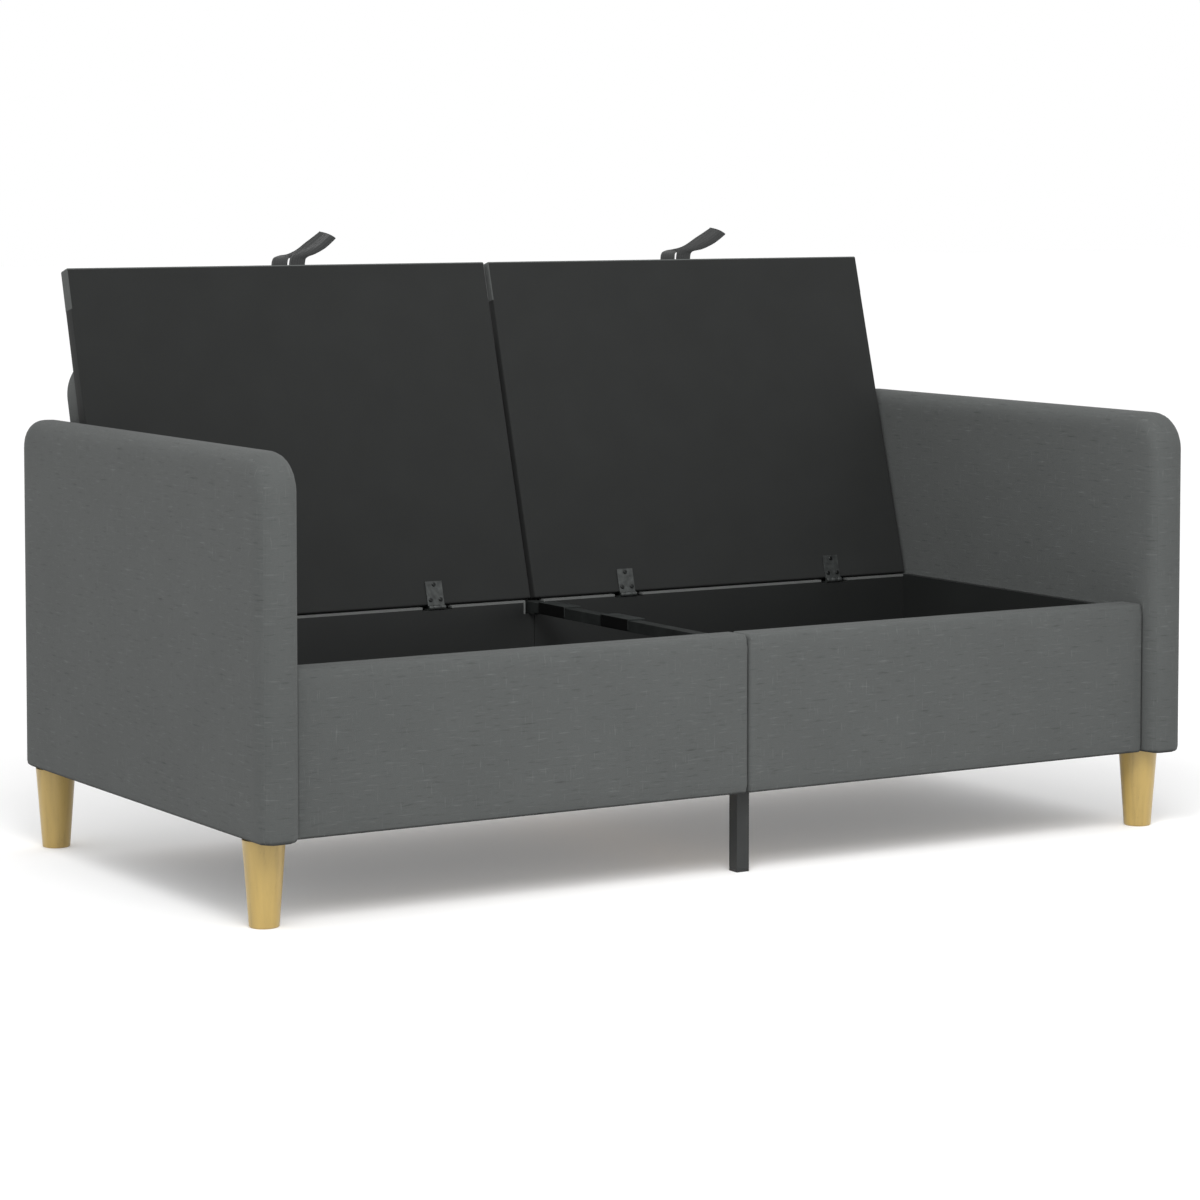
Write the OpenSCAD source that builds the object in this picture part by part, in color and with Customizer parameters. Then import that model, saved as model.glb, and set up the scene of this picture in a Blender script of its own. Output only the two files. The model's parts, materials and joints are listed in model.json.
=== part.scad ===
// Two-seat storage sofa: two padded arms, a padded front in two halves, a leaning backrest
// and two hinged seat lids over one storage box. The lids stand open against the backrest.
// Origin: on the floor, under the middle of the sofa. X runs along the seat, +Y to the back.

/* [Overall] */
// Clear width between the arms
inner_w = 1400; // [1200:10:1800]
// Depth of an arm from front to back
depth = 790; // [740:5:860]
// Height of the underside of the arms and the box above the floor
leg_h = 115; // [90:1:150]

/* [Arms] */
// Height of an arm above its underside
arm_h = 505; // [440:1:560]
// Thickness of an arm
arm_t = 60; // [50:1:90]
// Radius of an arm's upper front corner, seen from the side
arm_corner_r = 54; // [40:1:90]
// Radius of an arm's upper rear corner, seen from the side
arm_rear_corner_r = 42; // [30:1:90]
// Radius of an arm frame's lower corners, seen from the side
arm_frame_foot_r = 6; // [4:1:12]
// Rounding of an arm's edges at the top
arm_edge_r = 24; // [14:1:24]
// Rounding of an arm's edges at the foot
arm_foot_edge_r = 8; // [3:1:9]
// Foam and fabric over an arm's frame
arm_pad = 10; // [8:0.5:12]
// Width of the posts at the ends of an arm frame
arm_post_w = 60; // [50:1:70]
// Height of an arm frame's rails
arm_rail_h = 45; // [40:1:60]
// Width of the inner stiles of an arm frame
arm_stile_w = 40; // [30:1:50]

/* [Front panels] */
// Height of the front panels
front_h = 223; // [190:1:260]
// Thickness of the front panels
front_t = 54; // [46:1:62]
// How far the front panels stand behind the fronts of the arms
front_inset = 25.5; // [10:0.5:50]
// Height of the padded crown at the front panels' upper front edge
front_top_r = 22; // [10:1:25]
// Height of the padded crown at the front panels' lower front edge
front_foot_r = 16; // [6:1:20]
// Depth of the crowns from the front panels' face
front_crown_d = 5; // [3:0.5:7.5]
// Rounding of the panels' rear edges
front_rear_r = 8; // [4:1:12]
// Foam and fabric over the frames of the front, rear and backrest
panel_pad = 8; // [6:0.5:10]
// Width of the battens in the front, rear and backrest frames
batten_w = 40; // [30:1:50]

/* [Storage box] */
// Height of the closed lids' underside above the underside of the box
seat_h = 213.5; // [180:0.5:230]
// Thickness of the side boards
side_board_t = 12; // [9:0.5:18]
// Thickness of the rear boards
rear_board_t = 12; // [9:0.5:15]
// Thickness of the pale edging on the rear boards
edging_t = 3; // [2:0.5:4]
// Width of the notch in the rear boards' tops, where the centre rail ends
rear_gap = 32; // [30:1:50]
// Thickness of the floor boards
floor_t = 6; // [4:0.5:12]
// Section of the square cleats under the floor boards
cleat = 18; // [14:1:25]

/* [Backrest] */
// Height of the backrest's top above the underside of the box
back_h = 603; // [500:1:650]
// Thickness of the backrest
back_t = 38; // [32:1:45]
// Lean of the backrest from upright, in degrees
back_tilt = 15.75; // [12:0.25:18]
// Radius of the backrest's outer upper corners
back_corner_r = 68; // [40:1:90]
// Rounding of the backrest's top edges
back_edge_r = 14; // [8:1:15]
// How far the backrest's rearmost line stands in from the arms' rear
back_inset = 6; // [2:0.5:20]

/* [Lids] */
// Thickness of a lid
lid_t = 23; // [20:0.5:28]
// Gap between a lid and the arm
lid_side_gap = 5; // [3:0.5:8]
// Gap between the two lids
lid_mid_gap = 7.5; // [2:0.5:10]
// Gap between a closed lid and the front panel
lid_front_gap = 3.5; // [2:0.5:8]
// Thickness of a lid's covering
lining_t = 2.5; // [1.5:0.5:4]
// Width of the sofa fabric along a lid's front
band_w = 60; // [40:1:90]
// Width of the fold of sofa fabric on a lid's underside
band_lip = 3; // [2:0.5:6]

/* [Hinges] */
// Distance of the inner hinges from the middle of the sofa
hinge_in_x = 168; // [120:1:200]
// Distance of the outer hinges from the middle of the sofa
hinge_out_x = 553; // [450:1:560]
// Width of a hinge
leaf_w = 28; // [24:1:40]
// Length of the lid leaf from the pin
leaf_l = 40; // [36:1:50]
// Length of the base leaf from the pin
base_leaf_l = 24; // [22:0.5:24]
// Thickness of the leaves
leaf_t = 1.5; // [1:0.25:1.5]
// Outer radius of the barrel
barrel_r = 3.5; // [3:0.25:4]
// Radius of the pin
pin_r = 1.5; // [1:0.25:1.75]
// Length of the middle knuckle
knuckle_l = 12; // [8:1:16]
// Height of the lid's underside above the pin's axis
hinge_drop = 2; // [1.5:0.25:2.5]
// Distance from the pin's axis to the lid's rear edge
hinge_setback = 5; // [4.5:0.25:7]
// Width of the notch that takes a hinge in the rear board
notch_w = 50; // [44:1:60]

/* [Centre rail] */
// Width of the centre rail's tube
rail_w = 20; // [18:1:30]
// Height of the centre rail's tube
rail_h = 16; // [14:1:40]
// Wall of the centre rail's tube
rail_wall = 2; // [1.5:0.25:3]
// Length of a saddle plate along the rail
saddle_l = 75; // [50:1:100]
// Thickness of a saddle plate
saddle_t = 2; // [1.5:0.25:3]
// Reach of a saddle plate's wing past the rail
saddle_wing = 8; // [4:1:60]
// Droop of a saddle plate's wing, in degrees
saddle_droop = 2; // [0.5:0.5:12]
// Height of a saddle plate's turned-down flange
saddle_flange = 16; // [8:0.5:18]
// Distance from the rear boards to the middle of the rear saddle plate
saddle_rear = 69.5; // [50:0.5:100]
// Distance between the saddle plates
saddle_pitch = 179; // [110:1:220]
// Thickness of the steel of hangers, brackets and stays
steel_t = 2.5; // [2:0.25:4]
// Length of a hanger's shelf under the rail
hanger_shelf = 25; // [15:1:40]
// Depth of a hanger's plate below the rail
hanger_drop = 36; // [30:1:50]
// Half the width of the front hanger's plate
hanger_half_w = 30; // [28:1:40]
// Distance of the front hanger's screws from the middle
hanger_screw_x = 22; // [20:1:24]
// Distance of the rear hanger's screws from the middle
rear_hanger_screw_x = 5; // [4.5:0.5:10]

/* [Corner brackets] */
// Length of a corner bracket's legs
bracket_l = 50; // [36:1:60]
// Height of a corner bracket
bracket_h = 60; // [44:1:70]
// Height of a corner bracket's foot above the box's underside
bracket_z = 50; // [40:1:70]
// Distance of the bracket holes from the corner
bracket_hole = 20; // [18:1:24]
// Distance between the two holes in a bracket leg
bracket_pitch = 30; // [24:1:40]

/* [Back stays] */
// Distance of the inner stays from the middle of the sofa
stay_in_x = 185; // [120:1:240]
// Distance of the outer stays from the middle of the sofa
stay_out_x = 515; // [420:1:560]
// Width of a stay
stay_w = 40; // [30:1:50]
// Length of a stay's upright leg
stay_low = 84; // [70:1:100]
// Length of a stay's leaning leg
stay_high = 80; // [74:1:100]
// Height of the backrest frames' bottom rail
back_rail_h = 60; // [56:1:80]

/* [Legs] */
// Diameter of a wooden leg at the top
leg_top_d = 57; // [45:1:58]
// Diameter of a wooden leg at the floor
leg_foot_d = 40; // [30:1:45]
// Chamfer at the foot of a wooden leg
leg_chamfer = 1.5; // [0.5:0.5:3]
// Distance of the legs' axes from the arms' outer faces
leg_side_inset = 34; // [26:1:36]
// Distance of the front legs' axes from the arms' fronts
leg_front_inset = 68; // [40:1:100]
// Distance of the rear legs' axes from the arms' rears
leg_rear_inset = 46; // [34:1:100]
// Side of the centre leg's square tube
centre_leg_w = 20; // [18:1:25]
// Wall of the centre leg's tube
centre_leg_wall = 1.5; // [1:0.25:2]
// Distance of the centre leg's axis to the right of the seam
centre_leg_x = 12; // [10:1:30]
// Distance of the centre leg's axis in front of the front panels' rear face
centre_leg_y = 10.5; // [10:0.5:16]
// Thickness of the centre leg's top plate, let into the front panels
leg_plate_t = 3; // [2:0.5:4]
// Half the length of the centre leg's top plate
leg_plate_half = 60; // [56:1:80]
// Depth of the centre leg's top plate
leg_plate_d = 32; // [30:1:36]
// Height of the plastic foot under the centre leg
foot_h = 3; // [2:0.5:6]

/* [Pull straps] */
// Width of the webbing
strap_w = 26; // [20:1:28]
// Thickness of the webbing
strap_t = 1.6; // [1:0.2:2]
// How far the left strap sits to the right of its lid's middle
strap_off_left = 18.5; // [0:0.5:20]
// How far the right strap sits to the right of its lid's middle
strap_off_right = 7; // [0:0.5:20]
// How far the left strap's loop lies over to the right
strap_reach_left = 72; // [66:1:96]
// How far the right strap's loop lies over to the right
strap_reach_right = 88; // [66:1:96]
// Height of the strap's root on the lid's front edge
strap_root = 16.5; // [16.5:0.5:18]
// Half the distance between the middles of a strap's two ends
strap_split = 14.5; // [14.5:0.5:18]

/* [Fasteners] */
// Radius of the bolts that hold the legs and the arms
bolt_r = 4; // [3:0.5:4]
// Outer radius of the threaded inserts
insert_r = 6; // [5.5:0.25:7]
// Length of the inserts that take the leg bolts
leg_insert_l = 30; // [20:1:34]
// Length of the inserts that take the arm bolts
arm_insert_l = 18; // [12:1:24]
// Depth of a leg bolt in the leg
leg_bolt_depth = 30; // [20:1:40]
// Radius of a bolt's head
bolt_head_r = 7; // [6:0.5:8]
// Height of a bolt's head
bolt_head_h = 4; // [3:0.5:5]
// Radius of the frame screws
screw_r = 2.5; // [2:0.25:3]
// Length of the frame screws under the head
screw_l = 32; // [28:1:36]
// Radius of a frame screw's head
screw_head_r = 4.5; // [4:0.25:5]
// Height of a frame screw's head
screw_head_h = 3; // [2:0.5:3.5]
// Radius of the hinge screws
hinge_screw_r = 1.75; // [1.5:0.25:2]
// Length of the hinge screws under the head
hinge_screw_l = 14; // [10:1:16]
// Radius of a hinge screw's head
hinge_head_r = 3.25; // [2.75:0.25:3.5]
// Height of a hinge screw's head
hinge_head_h = 1.8; // [1:0.2:2]

/* [Fits] */
// Gap between soft surfaces that lie on each other
soft_gap = 0.3; // [0.2:0.05:0.5]
// Gap round a frame in its cover
cover_fit = 0.2; // [0.1:0.05:0.3]
// Gap at the seams between panels
seam_gap = 0.6; // [0.4:0.1:1.5]
// Clearance on the radius of a bolt, insert or screw in its hole
hole_fit = 0.1; // [0.05:0.05:0.2]
// Clearance on the radius of the hinge pin
pin_fit = 0.06; // [0.03:0.01:0.1]
// Gap between the knuckles of a hinge
knuckle_gap = 0.3; // [0.2:0.1:0.6]

/* [Hidden] */
$fn = 48;

fabric_grey = "#5f6261";
lining_black = "#2f3130";
board_black = "#2a2b2b";
edging_grey = "#8d908e";
beech = "#c4a864";
pine = "#c9a877";
steel_grey = "#55585a";
steel_black = "#38393a";
zinc = "#9a9d9f";

left = -1;
right = 1;
tiny = 0.01;

half_w = inner_w / 2;
arm_front = -depth / 2;
arm_rear = depth / 2;
box_z = leg_h;
arm_mid_x = half_w + arm_t / 2;

// Front panels, from their front face to their rear face
panel_y0 = arm_front + front_inset;
panel_y1 = panel_y0 + front_t;
panel_x0 = seam_gap / 2;
panel_x1 = half_w - seam_gap;

// The lids' underside when closed, and the pin's axis below it
seat_z = box_z + seat_h;
pin_z = seat_z - hinge_drop;

// The rear frames' top carries the base leaves and the backrest
rear_top_z = pin_z - barrel_r - leaf_t / 3;
back_z0 = rear_top_z + soft_gap;

// Backrest in its own slanted frame: n is its thickness, v runs up its slope
back_len = (box_z + back_h - back_z0 - back_edge_r + back_edge_r * sin(back_tilt)) / cos(back_tilt)
    + back_edge_r;
back_y0 = arm_rear - back_inset - back_edge_r - (back_t - back_edge_r) * cos(back_tilt)
    - (back_len - back_edge_r) * sin(back_tilt);
back_foot_rise = back_t * tan(back_tilt);
back_rear_y = back_y0 + back_t / cos(back_tilt);

// The open lid leans on the backrest; the pin's axis follows from that
open_angle = 90 + back_tilt;
pin_y = back_y0 + (pin_z - back_z0) * tan(back_tilt)
    - (soft_gap + lid_t + hinge_drop) / cos(back_tilt);

// Lid, closed
lid_x0 = lid_mid_gap / 2;
lid_x1 = half_w - lid_side_gap;
lid_y0 = panel_y1 + lid_front_gap;
lid_y1 = pin_y - hinge_setback;
lid_z1 = seat_z + lid_t;
lid_mid_x = (lid_x0 + lid_x1) / 2;

// Rear boards and frames
rear_board_y = pin_y - 1.1;
rear_frame_y0 = rear_board_y + rear_board_t;
rear_cover_y0 = back_rear_y - panel_pad;
rear_frame_t = rear_cover_y0 - rear_frame_y0;
rear_board_top = pin_z + 1.2;
rear_board_x0 = rear_gap / 2;
board_x1 = half_w - soft_gap;
side_board_x0 = board_x1 - side_board_t;
box_y0 = panel_y1 + soft_gap;
box_y1 = rear_board_y - soft_gap;

// Centre rail
rail_top = seat_z - soft_gap - saddle_t;
rail_z0 = rail_top - rail_h;
front_hanger_y = box_y0 + steel_t;
rear_hanger_y = rear_frame_y0 - steel_t;
hanger_z0 = rail_z0 - hanger_drop;
notch_z = rail_z0 - steel_t - soft_gap;
saddle_y = [rear_board_y - saddle_rear, rear_board_y - saddle_rear - saddle_pitch];

// Corner brackets and the arm bolts through them
bracket_z0 = box_z + bracket_z;
bracket_hole_z = [for (s = [-1, 1]) bracket_z0 + bracket_h / 2 + s * bracket_pitch / 2];
arm_bolt_y = [box_y0 + bracket_hole, box_y1 - bracket_hole];
bracket_screw_x = side_board_x0 - bracket_hole;

// Arm frame, inside its cover
arm_frame_y0 = arm_front + arm_pad;
arm_frame_y1 = arm_rear - arm_pad;
arm_frame_z0 = box_z + arm_pad;
arm_frame_h = arm_h - 2 * arm_pad;
arm_frame_t = arm_t - 2 * arm_pad;

// Legs
leg_x = half_w + arm_t - leg_side_inset;
leg_y = [arm_front + leg_front_inset, arm_rear - leg_rear_inset];
plate_leg_y = panel_y1 - centre_leg_y;
leg_plate_y1 = plate_leg_y + centre_leg_w / 2;
leg_plate_y0 = leg_plate_y1 - leg_plate_d;
plate_screw_x = [leg_plate_half - 10, leg_plate_half - 27];
plate_screw_y = (leg_plate_y0 + leg_plate_y1) / 2;

hinge_x = [hinge_in_x, hinge_out_x];
stay_x = [stay_in_x, stay_out_x];
lid_screw_spots = [[0, leaf_l - 5], [-8.5, 12], [8.5, 12]];
base_screw_spots = [[-9, 17], [9, 17]];

// Rectangle from the origin with its own radius at each corner, anticlockwise from the first
module rounded_rect(w, h, r) {
    polygon([
        [r[0], 0], [w - r[1], 0], [w, r[1]], [w, h - r[2]],
        [w - r[2], h], [r[3], h], [0, h - r[3]], [0, r[0]]
    ]);
    translate([r[0], r[0]]) circle(r[0]);
    translate([w - r[1], r[1]]) circle(r[1]);
    translate([w - r[2], h - r[2]]) circle(r[2]);
    translate([r[3], h - r[3]]) circle(r[3]);
}

// Stands a drawing of the Y-Z plane up and gives it a thickness along X
module along_x(x0, x1) {
    translate([x0, 0, 0]) rotate([90, 0, 90]) linear_extrude(x1 - x0) children();
}

// Block between two corners
module block(low, high) {
    translate(low) cube(high - low);
}

// Cylinder along X, Y or Z from a point
module rod_x(p, r, l) {
    translate(p) rotate([0, 90, 0]) cylinder(h = l, r = r);
}
module rod_y(p, r, l) {
    translate(p) rotate([-90, 0, 0]) cylinder(h = l, r = r);
}
module rod_z(p, r, l) {
    translate(p) cylinder(h = l, r = r);
}

// Everything on one side is made for the right and mirrored for the left
module on_side(side) {
    mirror([side == left ? 1 : 0, 0, 0]) children();
}

// Flat frame of battens in the X-Z plane: an outline with equal windows between stiles
module batten_windows(w, h, stile, rail_low, rail_high, count, t) {
    window_w = (w - (count + 1) * stile) / count;
    for (i = [0 : count - 1])
        translate([stile + i * (window_w + stile), -1, rail_low])
            cube([window_w, t + 2, h - rail_low - rail_high]);
}

// Arms

// Flat disc along X with rounded edges, one of the four corners of an arm
module arm_disc(r, edge_r) {
    steps = 6;
    profile = concat(
        [[0, -arm_t / 2]],
        [for (i = [0 : steps]) let (a = -90 + i * 90 / steps)
            [r - edge_r + edge_r * cos(a), -arm_t / 2 + edge_r + edge_r * sin(a)]],
        [for (i = [0 : steps]) let (a = i * 90 / steps)
            [r - edge_r + edge_r * cos(a), arm_t / 2 - edge_r + edge_r * sin(a)]],
        [[0, arm_t / 2]]
    );
    rotate([0, 90, 0]) rotate_extrude($fn = 40) polygon(profile);
}

// Upright disc with a rounded lower edge, one of the four corners of an arm's foot
module arm_foot() {
    steps = 4;
    profile = concat(
        [[0, 0]],
        [for (i = [0 : steps]) let (a = -90 + i * 90 / steps)
            [arm_edge_r - arm_foot_edge_r + arm_foot_edge_r * cos(a),
                arm_foot_edge_r + arm_foot_edge_r * sin(a)]],
        [[arm_edge_r, 2 * arm_foot_edge_r], [0, 2 * arm_foot_edge_r]]
    );
    rotate_extrude($fn = 24) polygon(profile);
}

module arm_outline_solid() {
    hull() {
        translate([arm_mid_x, arm_front + arm_corner_r, box_z + arm_h - arm_corner_r])
            arm_disc(arm_corner_r, arm_edge_r);
        translate([arm_mid_x, arm_rear - arm_rear_corner_r, box_z + arm_h - arm_rear_corner_r])
            arm_disc(arm_rear_corner_r, arm_edge_r);
        for (x = [-1, 1], y = [arm_front + arm_edge_r, arm_rear - arm_edge_r])
            translate([arm_mid_x + x * (arm_t / 2 - arm_edge_r), y, box_z]) arm_foot();
    }
}

// Outline of the arm frame, grown by a gap, as a slab
module arm_frame_slab(grow) {
    front_r = arm_corner_r - arm_pad + grow;
    rear_r = arm_rear_corner_r - arm_pad + grow;
    foot_r = arm_frame_foot_r + grow;
    along_x(arm_mid_x - arm_frame_t / 2 - grow, arm_mid_x + arm_frame_t / 2 + grow)
        translate([arm_frame_y0 - grow, arm_frame_z0 - grow])
            rounded_rect(
                arm_frame_y1 - arm_frame_y0 + 2 * grow, arm_frame_h + 2 * grow,
                [foot_r, foot_r, rear_r, front_r]
            );
}

// Windows of the arm frame: between the posts, the two bolt stiles and two middle stiles
module arm_windows() {
    mid_gap = (arm_bolt_y[1] - arm_bolt_y[0] - 3 * arm_stile_w) / 3;
    edges = concat(
        [[arm_frame_y0 + arm_post_w, arm_bolt_y[0] - arm_stile_w / 2]],
        [for (i = [0 : 2]) let (y = arm_bolt_y[0] + arm_stile_w / 2 + i * (mid_gap + arm_stile_w))
            [y, y + mid_gap]],
        [[arm_bolt_y[1] + arm_stile_w / 2, arm_frame_y1 - arm_post_w]]
    );
    for (e = edges)
        block(
            [arm_mid_x - arm_t / 2, e[0], arm_frame_z0 + arm_rail_h],
            [arm_mid_x + arm_t / 2, e[1], arm_frame_z0 + arm_frame_h - arm_rail_h]
        );
}

module arm_frame(side) {
    color(pine) on_side(side) difference() {
        arm_frame_slab(0);
        arm_windows();
        for (y = leg_y)
            rod_z([leg_x, y, arm_frame_z0 - 1], insert_r + hole_fit, leg_insert_l + 1 + hole_fit);
        for (y = arm_bolt_y, z = bracket_hole_z)
            rod_x([arm_mid_x - arm_t / 2, y, z], insert_r + hole_fit,
                arm_pad + arm_insert_l + hole_fit);
    }
}

module arm_cover(side) {
    color(fabric_grey) on_side(side) difference() {
        arm_outline_solid();
        arm_frame_slab(cover_fit);
        for (y = leg_y)
            rod_z([leg_x, y, box_z - 1], bolt_r + 2 * hole_fit, arm_pad + 2);
        for (y = arm_bolt_y, z = bracket_hole_z)
            rod_x([half_w - 1, y, z], bolt_r + 2 * hole_fit, arm_pad + 2);
    }
}

// Front panels

// A quarter of an oval from one angle to the next, as points
function quarter(middle, radii, from) = [
    for (i = [0 : 6]) let (a = from + i * 90 / 6)
        middle + [radii[0] * cos(a), radii[1] * sin(a)]
];

module front_profile() {
    translate([panel_y0, box_z])
        polygon(concat(
            quarter([front_crown_d, front_foot_r], [front_crown_d, front_foot_r], 180),
            quarter([front_t - front_rear_r, front_rear_r], [front_rear_r, front_rear_r], -90),
            quarter([front_t - front_rear_r, front_h - front_rear_r],
                [front_rear_r, front_rear_r], 0),
            quarter([front_crown_d, front_h - front_top_r], [front_crown_d, front_top_r], 90)
        ));
}

// Room that a front frame takes, grown by a gap
module front_frame_block(grow) {
    block(
        [panel_x0 + panel_pad - grow, panel_y0 + panel_pad - grow, box_z + panel_pad - grow],
        [panel_x1 - panel_pad + grow, panel_y1 - panel_pad + grow,
            box_z + front_h - panel_pad + grow]
    );
}

// Where frame screws go into the front: [position, direction they point]
module front_screw_holes(r) {
    for (z = bracket_hole_z)
        rod_y([bracket_screw_x, box_y0 + steel_t + 1 - screw_l - 1, z], r, screw_l + 1);
    rod_y([hanger_screw_x, box_y0 + steel_t - screw_l, hanger_screw_z], r, screw_l);
    for (x = plate_screw_x)
        rod_z([x, plate_screw_y, box_z - 1], r, screw_l);
}
hanger_screw_z = rail_z0 - hanger_drop * 0.6;

module front_frame(side) {
    w = panel_x1 - panel_x0 - 2 * panel_pad;
    color(pine) on_side(side) difference() {
        front_frame_block(0);
        translate([panel_x0 + panel_pad, panel_y0 + panel_pad, box_z + panel_pad])
            batten_windows(w, front_h - 2 * panel_pad, batten_w, batten_w, batten_w, 4, front_t);
        front_screw_holes(screw_r + hole_fit);
    }
}

module front_cover(side) {
    color(fabric_grey) on_side(side) difference() {
        along_x(panel_x0, panel_x1) front_profile();
        front_frame_block(cover_fit);
        front_screw_holes(screw_r + hole_fit);
        block(
            [panel_x0 - 1, leg_plate_y0 - soft_gap, box_z - 1],
            [leg_plate_half + soft_gap, panel_y1 + 1, box_z + leg_plate_t]
        );
    }
}

// Rear of the box

module rear_screw_holes(r) {
    for (z = bracket_hole_z)
        rod_y([bracket_screw_x, rear_board_y - 1, z], r, screw_l + 1);
    rod_y([rear_hanger_screw_x, rear_frame_y0 - 1, hanger_screw_z], r, screw_l + 1);
    for (x = stay_x, z = stay_low_z)
        rod_y([x, back_rear_y + 1 - screw_l, z], r, screw_l);
    for (x = hinge_x, p = base_screw_spots)
        rod_z([x + p[0], pin_y + p[1], rear_top_z - hinge_screw_l], hinge_screw_r + hole_fit,
            hinge_screw_l + 1);
}
stay_low_z = [back_z0 - 20, back_z0 - stay_low + 22];

module rear_frame(side) {
    w = panel_x1 - panel_x0;
    h = rear_top_z - box_z;
    color(board_black) on_side(side) difference() {
        block([panel_x0, rear_frame_y0, box_z], [panel_x1, rear_cover_y0, rear_top_z]);
        translate([panel_x0, rear_frame_y0, box_z])
            batten_windows(w, h, batten_w, batten_w, batten_w, 4, rear_frame_t);
        rear_screw_holes(screw_r + hole_fit);
    }
}

module rear_cover(side) {
    edge = panel_pad / 2;
    color(fabric_grey) on_side(side) difference() {
        along_x(panel_x0, panel_x1)
            translate([rear_cover_y0, box_z])
                rounded_rect(panel_pad, rear_top_z - box_z, [0, edge, 0, 0]);
        rear_screw_holes(screw_r + hole_fit);
    }
}

// Notches that let the hinges through the top of the rear boards
module hinge_notches() {
    for (x = hinge_x)
        block(
            [x - notch_w / 2, rear_board_y - 1, rear_top_z],
            [x + notch_w / 2, rear_frame_y0 + 1, rear_board_top + 1]
        );
}

// The boards meet under the notch, hollowed behind for the hanger's plate and screws
module rear_board(side) {
    color(board_black) on_side(side) difference() {
        union() {
            block(
                [rear_board_x0 + edging_t, rear_board_y, box_z],
                [board_x1, rear_frame_y0, rear_board_top - edging_t]
            );
            block(
                [panel_x0, rear_board_y, box_z],
                [rear_board_x0 + edging_t + tiny, rear_frame_y0, notch_z]
            );
        }
        block(
            [panel_x0 - 1, rear_hanger_y - screw_head_h - soft_gap, hanger_z0 - soft_gap],
            [rail_w / 2 + soft_gap, rear_frame_y0 + 1, notch_z + 1]
        );
        hinge_notches();
        rear_screw_holes(screw_r + hole_fit);
    }
}

module rear_edging(side) {
    color(edging_grey) on_side(side) difference() {
        block(
            [rear_board_x0, rear_board_y, notch_z],
            [board_x1, rear_frame_y0, rear_board_top]
        );
        block(
            [rear_board_x0 + edging_t, rear_board_y - 1, notch_z - 1],
            [board_x1 + 1, rear_frame_y0 + 1, rear_board_top - edging_t]
        );
        hinge_notches();
    }
}

// Sides and floor of the box

module side_board(side) {
    color(board_black) on_side(side) difference() {
        block([side_board_x0, box_y0, box_z], [board_x1, box_y1, seat_z - soft_gap]);
        for (y = arm_bolt_y, z = bracket_hole_z)
            rod_x([side_board_x0 - 1, y, z], bolt_r + 2 * hole_fit, side_board_t + 2);
    }
}

module floor_board(side) {
    color(board_black) on_side(side)
        block(
            [soft_gap, box_y0, box_z + cleat],
            [side_board_x0 - soft_gap, box_y1, box_z + cleat + floor_t]
        );
}

module floor_cleats() {
    color(pine) {
        for (side = [left, right])
            on_side(side)
                for (y = [box_y0, box_y1 - cleat])
                    block(
                        [soft_gap, y, box_z],
                        [side_board_x0 - soft_gap, y + cleat, box_z + cleat]
                    );
        block(
            [-batten_w / 2, box_y0 + cleat + soft_gap, box_z],
            [batten_w / 2, box_y1 - cleat - soft_gap, box_z + cleat]
        );
    }
}

// Centre rail, its hangers and saddle plates

module centre_rail() {
    y0 = front_hanger_y + soft_gap;
    y1 = rear_hanger_y - soft_gap;
    color(steel_black) difference() {
        block([-rail_w / 2, y0, rail_z0], [rail_w / 2, y1, rail_top]);
        block(
            [-rail_w / 2 + rail_wall, y0 - 1, rail_z0 + rail_wall],
            [rail_w / 2 - rail_wall, y1 + 1, rail_top - rail_wall]
        );
    }
}

module rail_hangers() {
    shelf_z0 = rail_z0 - steel_t;
    color(steel_black) {
        difference() {
            union() {
                block([-hanger_half_w, box_y0, hanger_z0], [hanger_half_w, front_hanger_y, rail_top]);
                block(
                    [-rail_w / 2, front_hanger_y - tiny, shelf_z0],
                    [rail_w / 2, front_hanger_y + hanger_shelf, rail_z0]
                );
            }
            for (side = [left, right])
                rod_y([side * hanger_screw_x, box_y0 - 1, hanger_screw_z],
                    screw_r + hole_fit, steel_t + 2);
        }
        difference() {
            union() {
                block([-rail_w / 2, rear_hanger_y, hanger_z0], [rail_w / 2, rear_frame_y0, rail_top]);
                block(
                    [-rail_w / 2, rear_hanger_y - hanger_shelf, shelf_z0],
                    [rail_w / 2, rear_hanger_y + tiny, rail_z0]
                );
            }
            for (side = [left, right])
                rod_y([side * rear_hanger_screw_x, rear_hanger_y - 1, hanger_screw_z],
                    screw_r + hole_fit, steel_t + 2);
        }
    }
}

module saddle_plates() {
    top = rail_top + saddle_t;
    x0 = -rail_w / 2;
    x1 = rail_w / 2;
    wing = [cos(saddle_droop), -sin(saddle_droop)];
    wing_up = [sin(saddle_droop), cos(saddle_droop)];
    wing_tip = [x1, rail_top] + saddle_wing * wing;
    color(steel_grey)
        for (y = saddle_y)
            translate([0, y + saddle_l / 2, 0]) rotate([90, 0, 0]) linear_extrude(saddle_l)
                polygon([
                    [x0 - saddle_t, top - saddle_flange], [x0, top - saddle_flange],
                    [x0, rail_top], [x1, rail_top], wing_tip, wing_tip + saddle_t * wing_up,
                    [x1 + saddle_t * tan(saddle_droop / 2), top], [x0 - saddle_t, top]
                ]);
}

// Backrest

// Moves a slab from its own frame, thickness along Y, to the leaning place
module lean_back() {
    translate([0, back_y0, back_z0]) rotate([-back_tilt, 0, 0]) children();
}

// Front view of a backrest half, in its own frame
module back_outline(x0, x1, v0, v1, r) {
    translate([x0, v0]) rounded_rect(x1 - x0, v1 - v0, [0, 0, r, 0]);
}

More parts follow.
